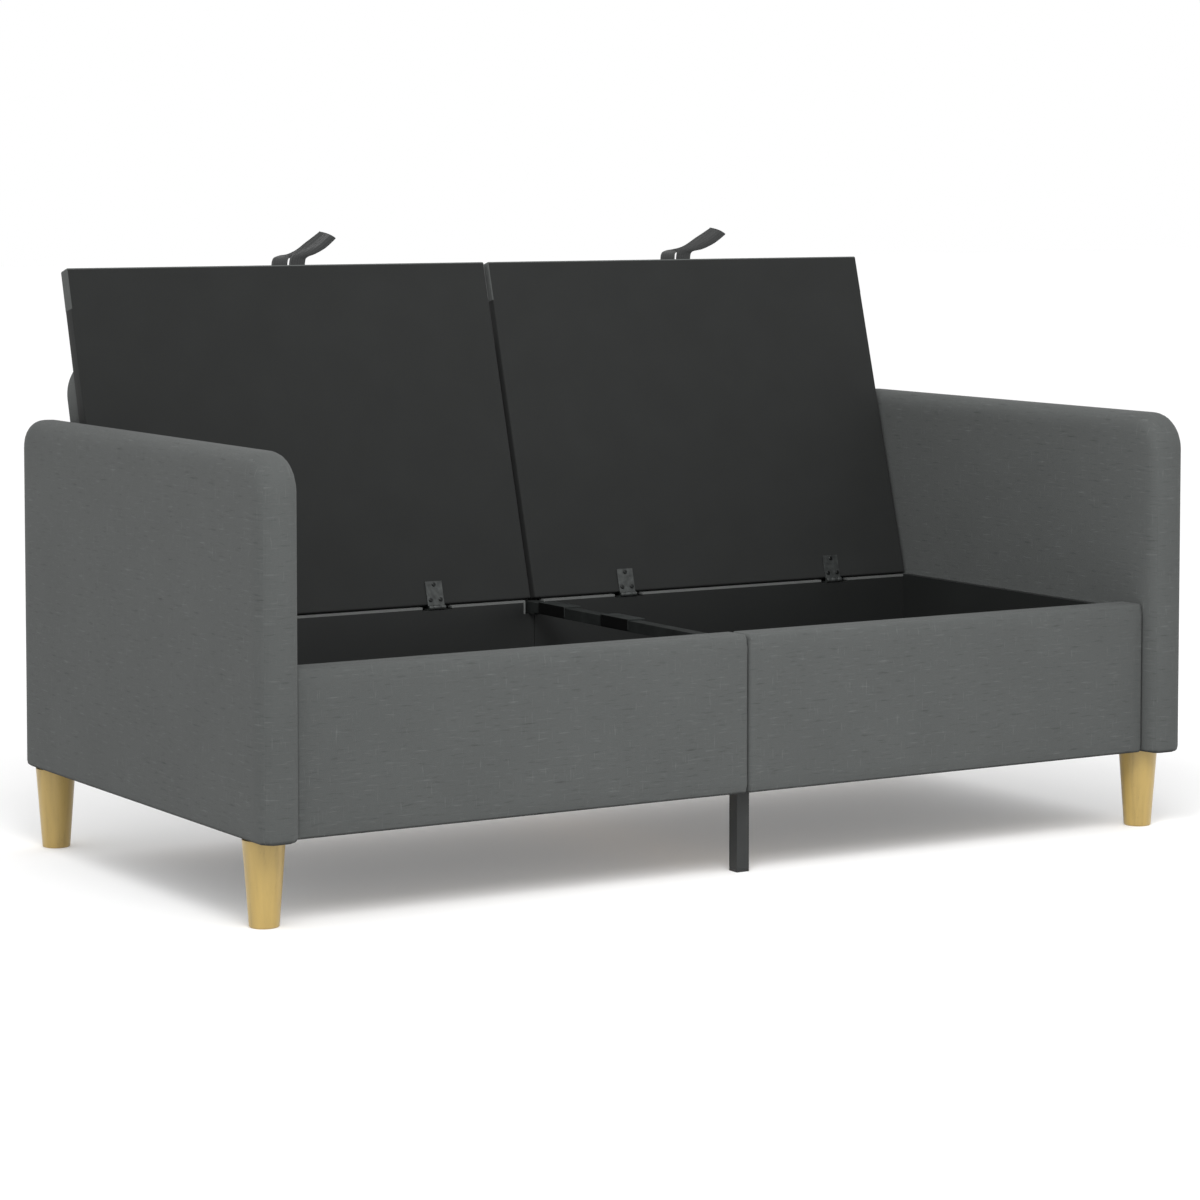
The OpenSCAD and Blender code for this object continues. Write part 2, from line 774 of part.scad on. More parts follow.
module back_slab(x0, x1, v0, v1, n0, n1, corner_r, edge_r) {
    intersection() {
        translate([0, n1, 0]) rotate([90, 0, 0])
            linear_extrude(n1 - n0) back_outline(x0, x1, v0, v1, corner_r);
        along_x(x0 - 1, x1 + 1)
            translate([n0, v0]) rounded_rect(n1 - n0, v1 - v0, [0, 0, edge_r, edge_r]);
    }
}

// Room that a backrest frame takes, grown by a gap
module back_frame_slab(grow) {
    back_slab(
        panel_x0 + panel_pad - grow, panel_x1 - panel_pad + grow,
        back_foot_rise + panel_pad - grow, back_len - panel_pad + grow,
        panel_pad - grow, back_t - panel_pad + grow,
        back_corner_r - panel_pad + grow, back_edge_r - panel_pad + grow
    );
}

module back_screw_holes(r) {
    for (x = stay_x, v = stay_high_v)
        rod_y([x, back_t + steel_t - screw_l, v], r, screw_l);
}
stay_high_v = [back_foot_rise + 24, back_foot_rise + 52];

module back_frame(side) {
    w = panel_x1 - panel_x0 - 2 * panel_pad;
    h = back_len - back_foot_rise - 2 * panel_pad;
    color(pine) on_side(side) lean_back() difference() {
        back_frame_slab(0);
        translate([panel_x0 + panel_pad, 0, back_foot_rise + panel_pad])
            batten_windows(w, h, batten_w, back_rail_h, batten_w, 4, back_t);
        back_screw_holes(screw_r + hole_fit);
    }
}

module back_cover(side) {
    color(fabric_grey) on_side(side) difference() {
        lean_back() difference() {
            back_slab(panel_x0, panel_x1, -back_t, back_len, 0, back_t, back_corner_r, back_edge_r);
            back_frame_slab(cover_fit);
            back_screw_holes(screw_r + hole_fit);
        }
        block([-1, back_y0 - 2 * back_t, back_z0 - 2 * back_t], [half_w, arm_rear, back_z0]);
    }
}

// Bent flat bars on the back that tie the backrest to the rear frames
module back_stays() {
    bend_y = back_rear_y;
    color(steel_black)
        for (side = [left, right])
            on_side(side)
                for (x = stay_x)
                    difference() {
                        union() {
                            block(
                                [x - stay_w / 2, bend_y, back_z0 - stay_low],
                                [x + stay_w / 2, bend_y + steel_t, back_z0 + tiny]
                            );
                            translate([x - stay_w / 2, bend_y, back_z0])
                                rotate([-back_tilt, 0, 0])
                                    cube([stay_w, steel_t, stay_high]);
                            rod_x([x - stay_w / 2, bend_y, back_z0], steel_t, stay_w);
                        }
                        block(
                            [x - stay_w, bend_y - 2 * steel_t, back_z0 - stay_low - 1],
                            [x + stay_w, bend_y, back_z0 + 2 * steel_t]
                        );
                        translate([x - stay_w, bend_y, back_z0]) rotate([-back_tilt, 0, 0])
                            translate([0, -2 * steel_t, -tiny])
                                cube([2 * stay_w, 2 * steel_t, stay_high + 1]);
                        for (z = stay_low_z)
                            rod_y([x, bend_y - 1, z], screw_r + hole_fit, steel_t + 2);
                        lean_back() for (v = stay_high_v)
                            rod_y([x, back_t - 1, v], screw_r + hole_fit, steel_t + 2);
                    }
}

// Legs

module wooden_leg(side, y) {
    color(beech) on_side(side) difference() {
        translate([leg_x, y, 0]) {
            cylinder(h = leg_chamfer, r1 = leg_foot_d / 2 - leg_chamfer, r2 = leg_foot_d / 2);
            translate([0, 0, leg_chamfer])
                cylinder(h = leg_h - leg_chamfer, r1 = leg_foot_d / 2, r2 = leg_top_d / 2);
        }
        rod_z([leg_x, y, leg_h - leg_bolt_depth - hole_fit], bolt_r + hole_fit, leg_bolt_depth + 1);
    }
}

module leg_bolts() {
    color(zinc)
        for (side = [left, right], y = leg_y)
            on_side(side)
                rod_z([leg_x, y, leg_h - leg_bolt_depth], bolt_r,
                    leg_bolt_depth + arm_pad + leg_insert_l - 2);
}

module leg_inserts() {
    color(zinc)
        for (side = [left, right], y = leg_y)
            on_side(side) difference() {
                rod_z([leg_x, y, arm_frame_z0], insert_r, leg_insert_l);
                rod_z([leg_x, y, arm_frame_z0 - 1], bolt_r + hole_fit, leg_insert_l + 2);
            }
}

module centre_leg() {
    w = centre_leg_w;
    inner = w - 2 * centre_leg_wall;
    color(steel_black) difference() {
        union() {
            block([-leg_plate_half, leg_plate_y0, box_z],
                [leg_plate_half, leg_plate_y1, box_z + leg_plate_t]);
            translate([centre_leg_x - w / 2, plate_leg_y - w / 2, foot_h])
                cube([w, w, box_z - foot_h + tiny]);
        }
        translate([centre_leg_x - inner / 2, plate_leg_y - inner / 2, foot_h - 1])
            cube([inner, inner, box_z - foot_h + 1]);
        for (side = [left, right], x = plate_screw_x)
            rod_z([side * x, plate_screw_y, box_z - 1], screw_r + hole_fit, leg_plate_t + 2);
    }
}

module centre_leg_foot() {
    w = centre_leg_w;
    plug = w - 2 * centre_leg_wall - 2 * hole_fit;
    color("#1d1e1e") {
        translate([centre_leg_x - w / 2, plate_leg_y - w / 2, 0]) cube([w, w, foot_h]);
        translate([centre_leg_x - plug / 2, plate_leg_y - plug / 2, foot_h - tiny])
            cube([plug, plug, w / 2]);
    }
}

// Corner brackets and fasteners

module corner_brackets() {
    color(steel_grey)
        for (side = [left, right], at_front = [true, false])
            on_side(side) {
                corner_y = at_front ? box_y0 : box_y1;
                way = at_front ? 1 : -1;
                difference() {
                    translate([side_board_x0, corner_y, bracket_z0])
                        mirror([1, 0, 0]) mirror([0, at_front ? 0 : 1, 0]) {
                            cube([steel_t, bracket_l, bracket_h]);
                            cube([bracket_l, steel_t, bracket_h]);
                        }
                    for (z = bracket_hole_z) {
                        rod_x([side_board_x0 - steel_t - 1, corner_y + way * bracket_hole, z],
                            bolt_r + 2 * hole_fit, steel_t + 2);
                        rod_y([bracket_screw_x, corner_y + way * steel_t / 2 - steel_t, z],
                            screw_r + hole_fit, 2 * steel_t);
                    }
                }
            }
}

module arm_bolts() {
    color(zinc)
        for (side = [left, right], y = arm_bolt_y, z = bracket_hole_z)
            on_side(side) {
                head_x = side_board_x0 - steel_t;
                rod_x([head_x - bolt_head_h, y, z], bolt_head_r, bolt_head_h);
                rod_x([head_x - tiny, y, z], bolt_r,
                    half_w + arm_pad + arm_insert_l - 2 - head_x);
            }
}

module arm_inserts() {
    color(zinc)
        for (side = [left, right], y = arm_bolt_y, z = bracket_hole_z)
            on_side(side) difference() {
                rod_x([half_w + arm_pad, y, z], insert_r, arm_insert_l);
                rod_x([half_w + arm_pad - 1, y, z], bolt_r + hole_fit, arm_insert_l + 2);
            }
}

// Pan-head screw along +Y from under its head
module frame_screw() {
    rod_y([0, -screw_head_h, 0], screw_head_r, screw_head_h);
    rod_y([0, -tiny, 0], screw_r, screw_l - 2);
}

module frame_screws() {
    color(zinc)
        for (side = [left, right])
            on_side(side) {
                for (z = bracket_hole_z) {
                    translate([bracket_screw_x, box_y0 + steel_t, z])
                        rotate([0, 0, 180]) frame_screw();
                    translate([bracket_screw_x, box_y1 - steel_t, z]) frame_screw();
                }
                translate([hanger_screw_x, front_hanger_y, hanger_screw_z])
                    rotate([0, 0, 180]) frame_screw();
                translate([rear_hanger_screw_x, rear_hanger_y, hanger_screw_z]) frame_screw();
                for (x = plate_screw_x)
                    translate([x, plate_screw_y, box_z]) rotate([90, 0, 0]) frame_screw();
                for (x = stay_x) {
                    for (z = stay_low_z)
                        translate([x, back_rear_y + steel_t, z]) rotate([0, 0, 180]) frame_screw();
                    lean_back() for (v = stay_high_v)
                        translate([x, back_t + steel_t, v]) rotate([0, 0, 180])
                            frame_screw();
                }
            }
}

// Hinges

// Knuckles along X about the pin's axis, as [start, length] from a hinge's middle
outer_knuckle_l = (leaf_w - knuckle_l) / 2 - knuckle_gap;
lid_knuckles = [[-leaf_w / 2, outer_knuckle_l], [leaf_w / 2 - outer_knuckle_l, outer_knuckle_l]];

// Cylinders that clear the other leaf's knuckles
module knuckle_room(spans) {
    for (k = spans)
        rod_x([k[0] - knuckle_gap, pin_y, pin_z], barrel_r + knuckle_gap, k[1] + 2 * knuckle_gap);
}

module base_leaf() {
    leaf_z0 = rear_top_z;
    difference() {
        union() {
            block([-leaf_w / 2, pin_y, leaf_z0], [leaf_w / 2, pin_y + base_leaf_l, leaf_z0 + leaf_t]);
            rod_x([-knuckle_l / 2, pin_y, pin_z], barrel_r, knuckle_l);
        }
        knuckle_room(lid_knuckles);
        rod_x([-leaf_w, pin_y, pin_z], pin_r + pin_fit, 2 * leaf_w);
        for (p = base_screw_spots)
            rod_z([p[0], pin_y + p[1], leaf_z0 - 1], hinge_head_r + hole_fit, leaf_t + 2);
    }
}

module hinge_base_leaves() {
    color(zinc)
        for (side = [left, right], x = hinge_x)
            translate([side * x, 0, 0]) base_leaf();
}

module hinge_pins() {
    color(zinc)
        for (side = [left, right], x = hinge_x)
            rod_x([side * x - leaf_w / 2, pin_y, pin_z], pin_r, leaf_w);
}

module hinge_base_screws() {
    color(zinc)
        for (side = [left, right], x = hinge_x, p = base_screw_spots)
            translate([side * x + p[0], pin_y + p[1], rear_top_z]) {
                cylinder(h = leaf_t, r = hinge_head_r);
                translate([0, 0, 1 - hinge_screw_l]) cylinder(h = hinge_screw_l, r = hinge_screw_r);
            }
}

// Lids, drawn closed and turned open about the pins

module open_lid() {
    translate([0, pin_y, pin_z]) rotate([-open_angle, 0, 0]) translate([0, -pin_y, -pin_z])
        children();
}

// Holes for the lid leaf's screws, from the underside up
module lid_screw_holes(r) {
    for (x = hinge_x, p = lid_screw_spots)
        rod_z([x + p[0], pin_y - p[1], seat_z - 1], r, hinge_screw_l + 1);
}

module lid_block(inset) {
    block(
        [lid_x0 + inset, lid_y0 + inset, seat_z + inset],
        [lid_x1 - inset, lid_y1 - inset, lid_z1 - inset]
    );
}

module lid_board(side) {
    color(pine) open_lid() on_side(side) difference() {
        lid_block(lining_t);
        lid_screw_holes(hinge_screw_r + hole_fit);
    }
}

module lid_shell() {
    difference() {
        lid_block(0);
        lid_block(lining_t - tiny);
    }
}

// Part of the covering that is sofa fabric: the front, round the ends and over the top
module band_zone(grow) {
    block(
        [lid_x0 - 1, lid_y0 - 1, seat_z + lining_t - grow],
        [lid_x1 + 1, lid_y0 + band_w + grow, lid_z1 + 1]
    );
    block(
        [lid_x0 - 1, lid_y0 - 1, seat_z - 1],
        [lid_x1 + 1, lid_y0 + band_lip + grow, lid_z1 + 1]
    );
}

module lid_lining(side) {
    color(lining_black) open_lid() on_side(side) difference() {
        lid_shell();
        band_zone(cover_fit);
        lid_screw_holes(hinge_screw_r + hole_fit);
    }
}

module lid_band(side) {
    color(fabric_grey) open_lid() on_side(side) intersection() {
        lid_shell();
        band_zone(0);
    }
}

module lid_leaf() {
    difference() {
        union() {
            block([-leaf_w / 2, pin_y - leaf_l, seat_z - leaf_t], [leaf_w / 2, pin_y, seat_z]);
            for (k = lid_knuckles)
                rod_x([k[0], pin_y, pin_z], barrel_r, k[1]);
        }
        knuckle_room([[-knuckle_l / 2, knuckle_l]]);
        block([-leaf_w, lid_y1 - tiny, seat_z], [leaf_w, pin_y + leaf_l, seat_z + leaf_l]);
        rod_x([-leaf_w, pin_y, pin_z], pin_r + pin_fit, 2 * leaf_w);
        for (p = lid_screw_spots)
            rod_z([p[0], pin_y - p[1], seat_z - leaf_t - 1], hinge_screw_r + hole_fit, leaf_t + 2);
    }
}

module hinge_lid_leaves(side) {
    color(zinc) open_lid()
        for (x = hinge_x)
            translate([side * x, 0, 0]) lid_leaf();
}

module hinge_lid_screws(side) {
    color(zinc) open_lid()
        for (x = hinge_x, p = lid_screw_spots)
            translate([side * (x + p[0]), pin_y - p[1], seat_z - leaf_t]) {
                translate([0, 0, -hinge_head_h]) cylinder(h = hinge_head_h, r = hinge_head_r);
                translate([0, 0, -tiny]) cylinder(h = hinge_screw_l, r = hinge_screw_r);
            }
}

// Pull straps: one strip of webbing in a loop, drawn at the closed lid's front edge.
// Each point is [to the right, out from the edge, up]. The left end bends over behind the
// right one. The strip's width runs along the edge at its ends and slants at the far end.
function strap_upper(reach) = [
    [-strap_split, 0, 0], [0.7 - strap_split, 5, 0], [1.7 - strap_split, 10.5, 0.3],
    [2.9 - strap_split, 15, 1.6], [4.9 - strap_split, 17.2, 3.8], [-6, 18.1, 5.8],
    [-0.5, 18.6, 7.4], [7.5, 19, 8], [16.5, 19.7, 7.4], [0.36 * reach, 22, 6],
    [0.52 * reach, 26.6, 4.4], [0.76 * reach, 36.8, 1.4], [reach, 48, -1.6]
];
function strap_lower(reach) = [
    [strap_split, 0, 0], [0.9 + strap_split, 5, -0.1], [2.1 + strap_split, 10, -0.5],
    [3.7 + strap_split, 14, -1.4], [8 + strap_split, 17.5, -2.6], [0.44 * reach, 21.2, -3.6],
    [0.62 * reach, 28.5, -4.4], [0.82 * reach, 38, -4.8], [reach, 48, -4.8]
];
strap_end_turn = 1.6;
strap_slant = [0.86, -0.49, -0.08];
strap_steps = 3;

function lerp(a, b, t) = a + (b - a) * t;
function unit(v) = v / norm(v);
function curve_point(p0, p1, p2, p3, t) =
    0.5 * (2 * p1 + (p2 - p0) * t + (2 * p0 - 5 * p1 + 4 * p2 - p3) * t * t
        + (3 * p1 - p0 - 3 * p2 + p3) * t * t * t);
function smooth_path(p, steps) = [
    for (i = [0 : len(p) - 2], s = [0 : steps - 1])
        curve_point(p[max(i - 1, 0)], p[i], p[i + 1], p[min(i + 2, len(p) - 1)], s / steps)
];
function reversed(p) = [for (i = [len(p) - 1 : -1 : 0]) p[i]];

strap_far_way = [0.5, 0.86, 0];
function strap_path(reach) = concat(
    smooth_path(strap_upper(reach), strap_steps),
    [
        for (a = [90 : -30 : -90])
            [reach, 48, -3.2] + strap_end_turn * (cos(a) * strap_far_way + [0, 0, sin(a)])
    ],
    reversed(smooth_path(strap_lower(reach), strap_steps))
);

// Direction of the strip's width at a point, by how far right of the middle and how far
// out from the edge it is
function strap_across(p) =
    unit(lerp([1, 0, 0], strap_slant, max(0, min(1, (p[0] + 4) / 36, (p[1] - 12) / 22))));
function strap_ring(path, i) = let (
    way = path[min(i + 1, len(path) - 1)] - path[max(i - 1, 0)],
    across = strap_across(path[i]),
    up = unit(cross(across, way))
) [
    path[i] + across * strap_w / 2 + up * strap_t / 2,
    path[i] - across * strap_w / 2 + up * strap_t / 2,
    path[i] - across * strap_w / 2 - up * strap_t / 2,
    path[i] + across * strap_w / 2 - up * strap_t / 2
];

module strap_loop(reach) {
    path = strap_path(reach);
    rings = [for (i = [0 : len(path) - 1]) strap_ring(path, i)];
    last = 4 * (len(rings) - 1);
    sides = [
        for (i = [0 : len(rings) - 2], k = [0 : 3]) let (a = 4 * i, n = (k + 1) % 4)
            each [[a + k, a + n, a + 4 + n], [a + k, a + 4 + n, a + 4 + k]]
    ];
    caps = [[0, 2, 1], [0, 3, 2], [last, last + 1, last + 2], [last, last + 2, last + 3]];
    polyhedron([for (ring = rings) each ring], concat(sides, caps));
}

module pull_strap(side) {
    x = side == left ? strap_off_left - lid_mid_x : strap_off_right + lid_mid_x;
    color(steel_black) open_lid()
        translate([x, lid_y0 - soft_gap, seat_z + strap_root])
            mirror([0, 1, 0]) strap_loop(side == left ? strap_reach_left : strap_reach_right);
}

arm_frame(left);  // arm_frame_left
arm_frame(right);  // arm_frame_right
arm_cover(left);  // arm_cover_left
arm_cover(right);  // arm_cover_right
front_frame(left);  // front_frame_left
front_frame(right);  // front_frame_right
front_cover(left);  // front_cover_left
front_cover(right);  // front_cover_right
rear_frame(left);  // rear_frame_left
rear_frame(right);  // rear_frame_right
rear_cover(left);  // rear_cover_left
rear_cover(right);  // rear_cover_right
rear_board(left);  // rear_board_left
rear_board(right);  // rear_board_right
rear_edging(left);  // rear_edging_left
rear_edging(right);  // rear_edging_right
side_board(left);  // side_board_left
side_board(right);  // side_board_right
floor_board(left);  // floor_board_left
floor_board(right);  // floor_board_right
floor_cleats();
centre_rail();
rail_hangers();
saddle_plates();
back_frame(left);  // back_frame_left
back_frame(right);  // back_frame_right
back_cover(left);  // back_cover_left
back_cover(right);  // back_cover_right
back_stays();
wooden_leg(left, leg_y[0]);  // leg_front_left
wooden_leg(right, leg_y[0]);  // leg_front_right
wooden_leg(left, leg_y[1]);  // leg_rear_left
wooden_leg(right, leg_y[1]);  // leg_rear_right
leg_bolts();
leg_inserts();
centre_leg();
centre_leg_foot();
corner_brackets();
arm_bolts();
arm_inserts();
frame_screws();
hinge_base_leaves();
hinge_pins();
hinge_base_screws();
lid_board(left);  // lid_board_left
lid_lining(left);  // lid_lining_left
lid_band(left);  // lid_band_left
hinge_lid_leaves(left);  // hinge_lid_leaves_left
hinge_lid_screws(left);  // hinge_lid_screws_left
pull_strap(left);  // pull_strap_left
lid_board(right);  // lid_board_right
lid_lining(right);  // lid_lining_right
lid_band(right);  // lid_band_right
hinge_lid_leaves(right);  // hinge_lid_leaves_right
hinge_lid_screws(right);  // hinge_lid_screws_right
pull_strap(right);  // pull_strap_right
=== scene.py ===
import json
import math

import bpy
import numpy as np
from mathutils import Matrix, Vector, noise
from mathutils.bvhtree import BVHTree


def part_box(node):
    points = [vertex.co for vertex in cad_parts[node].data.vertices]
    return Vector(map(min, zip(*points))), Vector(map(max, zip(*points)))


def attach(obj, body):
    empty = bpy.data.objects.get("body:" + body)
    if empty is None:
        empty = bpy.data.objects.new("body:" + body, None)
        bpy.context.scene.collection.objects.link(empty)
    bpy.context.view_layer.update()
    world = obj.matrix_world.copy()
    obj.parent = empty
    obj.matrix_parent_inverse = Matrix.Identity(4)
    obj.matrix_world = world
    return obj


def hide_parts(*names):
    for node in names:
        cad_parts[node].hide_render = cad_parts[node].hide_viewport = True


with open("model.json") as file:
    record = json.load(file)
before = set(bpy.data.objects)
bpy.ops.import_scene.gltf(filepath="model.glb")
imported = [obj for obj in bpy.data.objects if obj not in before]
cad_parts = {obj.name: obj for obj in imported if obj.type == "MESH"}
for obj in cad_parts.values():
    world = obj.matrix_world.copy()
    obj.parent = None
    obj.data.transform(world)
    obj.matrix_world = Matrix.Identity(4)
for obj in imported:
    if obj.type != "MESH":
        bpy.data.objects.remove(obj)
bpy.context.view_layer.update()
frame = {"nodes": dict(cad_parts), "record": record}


# Storage box boards
# Chipboard with a black melamine face: two sides, two rear boards and two floor boards. They
# are screwed to the frames. The frames behind the rear boards are painted the same black.
def start_material(name, colour, rough, metal=0.0):
    material = bpy.data.materials.new(name)
    material.use_nodes = True
    shader = material.node_tree.nodes["Principled BSDF"]
    shader.inputs["Base Color"].default_value = (*colour, 1)
    shader.inputs["Roughness"].default_value = rough
    shader.inputs["Metallic"].default_value = metal
    return material, shader


def add_node(material, kind, **sockets):
    made = material.node_tree.nodes.new(kind)
    for name, value in sockets.items():
        made.inputs[name.replace("_", " ")].default_value = value
    return made


def wire(material, out, into):
    material.node_tree.links.new(out, into)


# Noise stretched by a scale along each axis, read from object coordinates or a UV map
def stretched_noise(material, scale, detail=2.0, uv=None):
    if uv:
        place = material.node_tree.nodes.new("ShaderNodeUVMap")
        place.uv_map = uv
        source = place.outputs["UV"]
    else:
        place = material.node_tree.nodes.new("ShaderNodeTexCoord")
        source = place.outputs["Object"]
    stretch = add_node(material, "ShaderNodeMapping", Scale=scale)
    grain = add_node(material, "ShaderNodeTexNoise", Scale=1.0, Detail=detail)
    wire(material, source, stretch.inputs["Vector"])
    wire(material, stretch.outputs["Vector"], grain.inputs["Vector"])
    return grain.outputs["Fac"]


# Colours along a value from 0 to 1
def colour_by(material, value, stops):
    ramp = material.node_tree.nodes.new("ShaderNodeValToRGB")
    band = ramp.color_ramp
    while len(band.elements) < len(stops):
        band.elements.new(0.5)
    for element, (place, colour) in zip(band.elements, stops):
        element.position = place
        element.color = (*colour, 1)
    wire(material, value, ramp.inputs["Fac"])
    return ramp.outputs["Color"]


def sums(material, kind, *values):
    made = material.node_tree.nodes.new("ShaderNodeMath")
    made.operation = kind
    for socket, value in zip(made.inputs, values):
        if isinstance(value, (int, float)):
            socket.default_value = value
        else:
            wire(material, value, socket)
    return made.outputs[0]


def raise_surface(material, shader, height, strength, distance):
    bump = add_node(material, "ShaderNodeBump", Strength=strength, Distance=distance)
    wire(material, height, bump.inputs["Height"])
    wire(material, bump.outputs["Normal"], shader.inputs["Normal"])


def tint(colour, share):
    return tuple(min(1.0, c * share) for c in colour)


def dress(material, *nodes):
    for name in nodes:
        piece = frame["nodes"][name]
        piece.data.materials.clear()
        piece.data.materials.append(material)


board_colour = (0.0088, 0.0097, 0.0094)
melamine, shader = start_material("black_melamine", board_colour, 0.48)
fine = stretched_noise(melamine, (900, 900, 900), 3)
cloudy = stretched_noise(melamine, (7, 7, 7), 4)
mixed = sums(melamine, "ADD", sums(melamine, "MULTIPLY", fine, 0.5),
             sums(melamine, "MULTIPLY", cloudy, 0.5))
wire(melamine, colour_by(melamine, mixed, [(0.3, tint(board_colour, 0.8)),
     (0.5, board_colour), (0.7, tint(board_colour, 1.3))]), shader.inputs["Base Color"])
raise_surface(melamine, shader, fine, 0.25, 0.0003)
dress(melamine, "side_board_left", "side_board_right", "rear_board_left",
      "rear_board_right", "floor_board_left", "floor_board_right", "rear_frame_left",
      "rear_frame_right")


# Edging of the rear boards
# A pale grey plastic strip pressed over the raw edges along the top and the inner ends.
# It shows as the thin light line under the open lids.
edging_colour = (0.105, 0.109, 0.107)
edging, shader = start_material("pale_edging", edging_colour, 0.5)
fine = stretched_noise(edging, (60, 900, 900), 3)
wire(edging, colour_by(edging, fine, [(0.3, tint(edging_colour, 0.86)),
     (0.7, tint(edging_colour, 1.12))]), shader.inputs["Base Color"])
raise_surface(edging, shader, fine, 0.15, 0.0002)
dress(edging, "rear_edging_left", "rear_edging_right")


# Frames inside the padding
# Planed softwood battens under the foam of the arms, the panels, the backrest and the lids,
# and the cleats under the floor boards. Long grain with darker late wood.
pine_colour = (0.56, 0.36, 0.17)
pine, shader = start_material("planed_softwood", pine_colour, 0.62)
rings = stretched_noise(pine, (14, 60, 60), 5)
fibre = stretched_noise(pine, (40, 900, 900), 3)
mixed = sums(pine, "ADD", sums(pine, "MULTIPLY", rings, 0.7), sums(pine, "MULTIPLY", fibre, 0.3))
wire(pine, colour_by(pine, mixed, [(0.35, tint(pine_colour, 0.62)), (0.5, pine_colour),
     (0.65, tint(pine_colour, 1.15))]), shader.inputs["Base Color"])
raise_surface(pine, shader, fibre, 0.2, 0.0003)
dress(pine, "floor_cleats", *[f"{part}_{side}" for side in ("left", "right") for part in
      ("arm_frame", "front_frame", "back_frame", "lid_board")])


# Rail, leg and stays of black steel
# The square tube of the centre leg and the bent flat bars behind the backrest are powder coated
# black with a fine orange peel. The rail between the lids and its hangers are matt black.
black_steel_colour = (0.0255, 0.0272, 0.0268)
black_steel, shader = start_material("black_powder_coat", black_steel_colour, 0.55)
shader.inputs["Specular IOR Level"].default_value = 0.3
peel = stretched_noise(black_steel, (700, 700, 700), 2)
cloudy = stretched_noise(black_steel, (25, 25, 25), 3)
wire(black_steel, colour_by(black_steel, cloudy, [(0.3, tint(black_steel_colour, 0.85)),
     (0.7, tint(black_steel_colour, 1.15))]), shader.inputs["Base Color"])
raise_surface(black_steel, shader, peel, 0.22, 0.0004)


# Rounds the sharp edges of a steel or wooden node as a live modifier
def ease_edges(name, radius, angle=40):
    piece = frame["nodes"][name]
    weld = piece.modifiers.new("weld", "WELD")
    weld.merge_threshold = 0.00002
    bevel = piece.modifiers.new("eased", "BEVEL")
    bevel.width = radius
    bevel.segments = 2
    bevel.limit_method = "ANGLE"
    bevel.angle_limit = math.radians(angle)
    bevel.harden_normals = True


matt_black_colour = (0.0125, 0.014, 0.0136)
matt_black, shader = start_material("matt_black_paint", matt_black_colour, 0.6)
shader.inputs["Specular IOR Level"].default_value = 0.16
wire(matt_black, colour_by(matt_black, stretched_noise(matt_black, (40, 40, 40), 4),
     [(0.3, tint(matt_black_colour, 0.75)), (0.7, tint(matt_black_colour, 1.35))]),
     shader.inputs["Base Color"])
raise_surface(matt_black, shader, stretched_noise(matt_black, (600, 600, 600), 2), 0.25, 0.0004)

dress(black_steel, "centre_leg", "back_stays")
dress(matt_black, "centre_rail", "rail_hangers")
for name in ("centre_leg", "centre_rail", "rail_hangers", "back_stays"):
    ease_edges(name, 0.0006)


# Saddle plates and corner brackets
# Pressed steel plates over the centre rail, each with a short wing and a deep folded flange,
# and angle brackets in the corners of the box. On both, faces that point left (-X) are
# coloured near black.
grey_steel_colour = (0.021, 0.0236, 0.0232)
grey_steel, shader = start_material("grey_steel", grey_steel_colour, 0.5, 0.15)
shader.inputs["Specular IOR Level"].default_value = 0.2
peel = stretched_noise(grey_steel, (500, 500, 500), 2)
cloudy = stretched_noise(grey_steel, (30, 30, 30), 3)
place = grey_steel.node_tree.nodes.new("ShaderNodeTexCoord")
faces = grey_steel.node_tree.nodes.new("ShaderNodeSeparateXYZ")
wire(grey_steel, place.outputs["Normal"], faces.inputs[0])
# Faces that point left (-X) take a near-black colour, the rest the grey steel's tone
not_left_facing = sums(grey_steel, "GREATER_THAN", faces.outputs["X"], -0.7)
mixed = sums(grey_steel, "MULTIPLY", not_left_facing, cloudy)
wire(grey_steel, colour_by(grey_steel, mixed, [(0.1, (0.0025, 0.0025, 0.0025)),
     (0.3, tint(grey_steel_colour, 0.8)), (0.7, tint(grey_steel_colour, 1.25))]),
     shader.inputs["Base Color"])
raise_surface(grey_steel, shader, peel, 0.15, 0.0003)
dress(grey_steel, "saddle_plates", "corner_brackets")
ease_edges("saddle_plates", 0.0005)
ease_edges("corner_brackets", 0.0006)


# Bolts, inserts and screws
# Zinc-plated steel with fine turning marks. Most of them sit inside the frames.
zinc_colour = (0.2, 0.207, 0.21)
zinc, shader = start_material("zinc_plate", zinc_colour, 0.38, 0.85)
marks = stretched_noise(zinc, (900, 900, 2500), 2)
wire(zinc, colour_by(zinc, stretched_noise(zinc, (90, 90, 90), 3),
     [(0.3, tint(zinc_colour, 0.75)), (0.7, tint(zinc_colour, 1.2))]),
     shader.inputs["Base Color"])
raise_surface(zinc, shader, marks, 0.2, 0.0002)
dress(zinc, "leg_bolts", "leg_inserts", "arm_bolts", "arm_inserts", "frame_screws",
      "hinge_lid_screws_left", "hinge_lid_screws_right")
ease_edges("arm_bolts", 0.0012)


# Arms
# Upright padded panels: a wooden frame under 10 mm of foam, wrapped in grey linen-look cloth
# without visible seams. Foam and cloth are one piece, bolted to the box from inside.
def deselect():
    if bpy.context.object and bpy.context.object.mode != "OBJECT":
        bpy.ops.object.mode_set(mode="OBJECT")
    bpy.ops.object.select_all(action="DESELECT")


def hold(piece):
    deselect()
    piece.select_set(True)
    bpy.context.view_layer.objects.active = piece


def edit_all(piece):
    hold(piece)
    bpy.ops.object.mode_set(mode="EDIT")
    bpy.ops.mesh.select_all(action="SELECT")


def leave_edit():
    bpy.ops.object.mode_set(mode="OBJECT")


